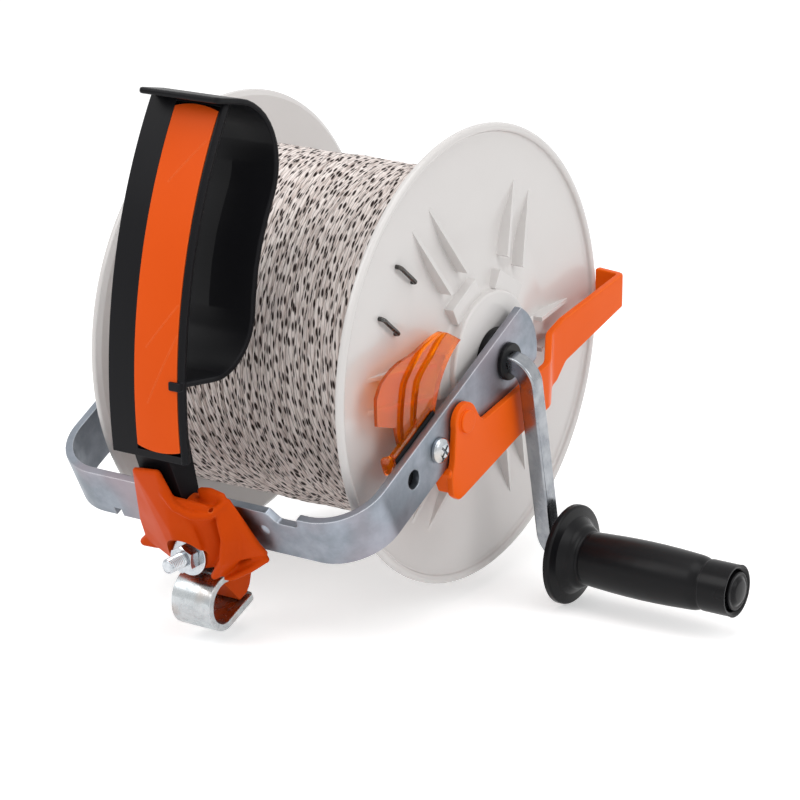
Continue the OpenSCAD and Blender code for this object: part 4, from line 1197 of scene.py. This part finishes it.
@dataclass
class Clamp:
    """The hook strip under the web, the winged clamp plate, its jaw and its bolt."""

    bolt_at: Point = (-121.0, -84.9)
    bolt_tilt: float = 2.0
    hook_w: float = 25.0
    hook_t: float = 4.0
    across_flats: float = 13.0

    def hook(self) -> Shape:
        """Bends the hook strip along its middle line in the side view."""
        corners = ((-135.99, -66.08), (-117.95, -100), (-142, -100), (-142, -132), (-105.5, -116))
        track, half = Track(corners, (6, 13, 11.5)), self.hook_w / 2
        end = track.stations()[-1]
        flat = rounded(((0, -half), (end, -half), (end, half), (0, half)), (1, 2.5, 2.5, 1), 30)
        strip = sheet(flat, -self.hook_t / 2, self.hook_t / 2, edge=0.6)
        return moved(folded(strip, track), swapped("yxz"))

    def jaw(self) -> Shape:
        """Cuts the moulded jaw that closes on the hook."""
        outline = ((-129.5, -102.5), (-118, -102.5), (-113.5, -99), (-120, -87.5), (-120, -80), (-115, -75),
                   (-106, -75), (-106, -93), (-104, -100), (-106.5, -110), (-109, -114), (-115, -116.5))
        return moved(sheet(rounded(outline, 0.8), -10.5, 10.5, edge=0.9), swapped("zxy"))

    def on_bolt(self, bm: Shape) -> Shape:
        """Moves a shape that was turned about X to the bolt's line, which runs out of the clamp."""
        return moved(bm, turn(-90, "Z"), turn(self.bolt_tilt), shift(0, *self.bolt_at))

    def bolt(self) -> Shape:
        """Turns the bolt, winds its thread and adds the head at the back."""
        corners = ((-20.2, 0), (-20.2, 3.35), (41, 3.35), (41, 0))
        core = turned(Track(corners, (0.1, 0.9)).points(), steps=40, closed=False)
        turns, pitch, facets = 17, 1.25, 28
        thread = drawn_out([(18.5, 3.2, 0), (19.1, 4.0, 0), (19.35, 4.0, 0), (19.9, 3.2, 0)],
                           Pull((pitch / facets, 0, 0), degrees=360 * turns, steps=facets * turns))
        return self.on_bolt(joined(core, thread, self.hexagon(-20.4, -15.4, 0.2)))

    def hexagon(self, low: float, high: float, hole: float) -> Shape:
        """Makes a chamfered hexagon with a round hole along the bolt."""
        corners = ((low, hole), (low, 6.4), (low + 0.9, 7.6), (high - 0.9, 7.6), (high, 6.4), (high, hole))
        shell = turned(Track(corners, (0.2, 0.3, 0.3, 0.2)).points(), steps=72)
        for y, z in circle((0, 0), 1, steps=6):
            out = Vector((0, y, z))
            shorn(shell, out * self.across_flats / 2, out)
        return shell

    def washer(self) -> Shape:
        """Turns the flat washer."""
        corners = ((21.1, 4.15), (21.1, 10.5), (23.1, 10.5), (23.1, 4.15))
        return self.on_bolt(turned(rounded(corners, 0.35), steps=56))

    def wing(self) -> Shape:
        """Models the clamp's winged body from its masses and works them into one skin."""
        masses = [
            # Tall left lobe, from its side edge up to the fold, and the small ear under it
            bead((-16.5, -163, 45, 1.6), (-0.5, -164, 48, 1.6), (3, -166, 32, 2), (-1, -169, 12, 2.5),
                 (-5, -168.5, -8, 3), (-27, -158, 18, 2), (-35.5, -155.5, -2, 2), (-14, -155, 30, 4)),
            bead((-1, -169, 12, 2.5), (-5, -168.5, -10, 3), (-35.5, -155.5, -2, 2), (-37, -155.5, -15, 2),
                 (-14, -160, -20, 3), (-10, -154, 10, 4)),
            bead((-36, -155.5, -14, 2.2), (-41.5, -156, -19.5, 2.6), (-24, -157, -17, 2.5)),
            # Half barrel, its curved lip and the rim behind it
            bead((4, -157, 17, 9), (4, -158, -12, 9.5), (12, -154, 12, 8), (12, -154, -12, 8),
                 (-4, -156, 20, 8)),
            bead((3, -166, 30, 2), (-1, -169, 12, 2.5), (-5, -168.5, -8, 3), (8, -165.5, 20, 3),
                 (8, -165.5, 0, 3), (5, -165, -14, 3)),
            ridge((0, -166, 36, 2.2), (6, -168, 29, 2.4), (13, -166.5, 23.5, 2.5), (20, -162, 21, 2.4),
                  (26, -155.5, 24, 2)),
            bead((2, -165, 31, 2), (12, -164, 22, 2), (22, -157, 20, 2), (10, -158, 13, 6)),
            bead((11, -152, 27, 2), (17, -152, 28, 2), (24, -152, 26, 2), (16, -155, 15, 4)),
            # Right wing: from its ridge back to a valley, and from there out to the side edge
            bead((24, -160, 17, 1.9), (25, -163, 6, 2), (29, -155.5, 13, 1.5), (30, -156.5, 2, 1.5),
                 (22, -152, 8, 2), (26, -154, 25, 1.6)),
            bead((25, -163, 6, 2), (20.5, -166, -8, 2), (30, -156.5, 2, 1.5), (25, -159, -11, 1.5),
                 (20, -152, -4, 2)),
            bead((20.5, -166, -8, 2), (11.5, -167, -20, 2), (25, -159, -11, 1.5), (16, -162, -20, 1.5),
                 (14, -152, -16, 2)),
            bead((29, -155.5, 13, 1.5), (30, -156.5, 2, 1.5), (27, -152.5, 24, 1.6), (37, -154.5, -3, 1.9)),
            bead((30, -156.5, 2, 1.5), (25, -159, -11, 1.5), (37, -154.5, -3, 1.9),
                 (38.5, -153.5, -8.5, 1.8)),
            # The lower blade, and the web that joins it
            ridge((39, -154, -13, 1.8), (30, -159, -18, 1.8), (17, -165, -23.5, 1.8)),
            bead((38.5, -152.5, -10, 1.4), (20, -155, -18, 1.6), (17, -161, -22, 1.4),
                 (31, -154.5, -15, 1.4)),
        ]
        bm = shorn(worked(joined(*masses), voxel=0.9, smooth=3), (0, -149.4, 0), (0, 1, 0))
        bm = shorn(moved(bm, LEAN), (0, 0, -97.6), (0, 0, -1))
        cutters = [
            moved(block((-18.6, -161.5, 6.2), (5.6, -140, 70), 0.5), LEAN),
            moved(block((-13, -153.6, -60), (13, -140, 6.5), 0.5), LEAN),
            self.on_bolt(turned(((21, 0), (21, 11.6), (60, 11.6), (60, 0)), steps=48, closed=False)),
        ]
        # The groove between barrel and right wing
        line = ((21.5, -160, 24, 1.6), (20.5, -162.5, 10, 1.8), (16, -167, -6, 1.8), (8.5, -170, -22, 1.8))
        cutters += [moved(bead(*pair), LEAN) for pair in zip(line, line[1:])]
        return worked(bm, cutters)

    def build(self) -> None:
        """Adds the clamp's pieces."""
        add_piece("hook_strip", self.hook(), Body.FRAME, ZINC_HOOK, ["hook"])
        add_piece("wing_clamp", self.wing(), Body.FRAME, SHADED_CLAMP_ORANGE, ["clamp_wing"], crease=50)
        add_piece("jaw_block", self.jaw(), Body.FRAME, SHADED_CLAMP_ORANGE, ["clamp_jaw"])
        add_piece("bolt", self.bolt(), Body.FRAME, BRIGHT, ["clamp_bolt"])
        add_piece("bolt_washer", self.washer(), Body.FRAME, BRIGHT, ["clamp_washer"])
        add_piece("bolt_nut", self.on_bolt(self.hexagon(23.2, 30, 4.1)), Body.FRAME, BRIGHT, ["clamp_nut"])


@dataclass
class Studio:
    """Camera, floor and soft light.

    Fields: the camera's bearing and height in degrees, its distance and aim in millimetres, its focal length
    in pixels of an 800 pixel picture; each lamp's place, size in metres and power; half the floor's side in
    metres; the sky's light, and what floor and sky add for the eye alone.
    """

    bearing: float = 35.4485
    height: float = 15.6458
    distance: float = 1685.386
    aim_right: float = 25.994
    aim_up: float = -36.936
    focal_px: float = 3125.5
    picture_px: int = 800
    lamps: tuple = ((-0.9, -1.5, 1.5, 1.4, 15.0), (0.3, -0.2, 1.9, 1.6, 13.0), (1.7, 0.1, 0.9, 1.2, 8.0))
    floor_half: float = 30.0
    sky: float = 0.55
    floor_lift: float = 0.46
    sky_lift: float = 0.45

    def camera(self) -> None:
        """Sets the camera where the photographer's was."""
        az, el = math.radians(self.bearing), math.radians(self.height)
        away = Vector((math.sin(az) * math.cos(el), -math.cos(az) * math.cos(el), math.sin(el)))
        right = Vector((math.cos(az), math.sin(az), 0))
        aim = (right * self.aim_right + away.cross(right) * self.aim_up) * MM
        data = bpy.data.cameras.new("view")
        data.sensor_fit = "HORIZONTAL"
        data.angle = 2 * math.atan(self.picture_px / 2 / self.focal_px)
        data.clip_end = 100
        eye = placed("view", data)
        eye.location = MIDDLE + away * self.distance * MM
        eye.rotation_euler = (MIDDLE + aim - eye.location).to_track_quat("-Z", "Y").to_euler()
        bpy.context.scene.camera = eye

    def floor(self) -> None:
        """Lays a white floor that keeps the shadow and reads as a white ground to the eye."""
        bm = bmesh.new()
        bmesh.ops.create_grid(bm, x_segments=1, y_segments=1, size=self.floor_half)
        mesh = mesh_of(bm, "floor")
        paper = bpy.data.materials.new("White paper sweep")
        tree = fresh_tree(paper)
        matt = add_node(tree, "ShaderNodeBsdfDiffuse", {"Color": linear("#F4F4F4")})
        glow = self.seen(tree, self.floor_lift)
        lift = add_node(tree, "ShaderNodeEmission", {"Color": (1, 1, 1, 1), "Strength": glow})
        both = add_node(tree, "ShaderNodeAddShader", {0: matt.outputs[0], 1: lift.outputs[0]})
        add_node(tree, "ShaderNodeOutputMaterial", {"Surface": both.outputs[0]})
        mesh.materials.append(paper)
        ground = placed("floor", mesh)

    def seen(self, tree: Tree, share: float) -> Socket:
        """Gives share for rays from the eye, also by way of gloss or glass, and 0 for the rest."""
        path = add_node(tree, "ShaderNodeLightPath")
        total = path.outputs["Is Camera Ray"]
        for name in ("Is Glossy Ray", "Is Transmission Ray"):
            total = add_node(tree, "ShaderNodeMath", {0: total, 1: path.outputs[name]}, operation="ADD",
                             use_clamp=True).outputs[0]
        return add_node(tree, "ShaderNodeMath", {0: total, 1: share}, operation="MULTIPLY").outputs[0]

    def light(self) -> None:
        """Hangs the softboxes and sets an even sky."""
        for number, (x, y, z, size, power) in enumerate(self.lamps):
            data = bpy.data.lights.new(f"softbox_{number}", "AREA")
            data.shape, data.size, data.energy = "DISK", size, power
            lamp = placed(data.name, data)
            lamp.location = MIDDLE + Vector((x, y, z))
            lamp.rotation_euler = (-Vector((x, y, z))).to_track_quat("-Z", "Y").to_euler()
        sky = bpy.data.worlds.new("even sky")
        tree = fresh_tree(sky)
        seen = self.seen(tree, self.sky_lift)
        white = add_node(tree, "ShaderNodeMath", {0: seen, 1: self.sky}, operation="ADD")
        glow = add_node(tree, "ShaderNodeBackground", {"Color": (1, 1, 1, 1), "Strength": white.outputs[0]})
        add_node(tree, "ShaderNodeOutputWorld", {"Surface": glow.outputs[0]})
        bpy.context.scene.world = sky

    def build(self) -> None:
        """Adds camera, floor and light."""
        bpy.context.scene.view_settings.view_transform = "Standard"
        self.camera()
        self.floor()
        self.light()


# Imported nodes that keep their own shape, and the finish of each
KEPT: dict[str, Finish] = {"drum_core": WHITE,
                           **dict.fromkeys(("axle_clip", "grip_washer", "lever_clip", "shoe_nut"), BRIGHT)}


def dress_kept() -> None:
    """Gives the nodes that stay as packed their finish."""
    for name, finish in KEPT.items():
        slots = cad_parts[name].data.materials
        slots.clear()
        slots.append(finish.material())
        LOG.info("%s: packed shape, %s", name, finish.name)


def main() -> None:
    """Builds the studio and the reel's sub-assemblies in order, and dresses the kept nodes."""
    logging.basicConfig(level=logging.INFO, format="%(name)s: %(message)s")
    Studio().build()
    for part in (Drum(), Crank(), StripFrame(), Brake(), Handle(), Clamp()):
        part.build()
    dress_kept()


if __name__ == "__main__":
    main()
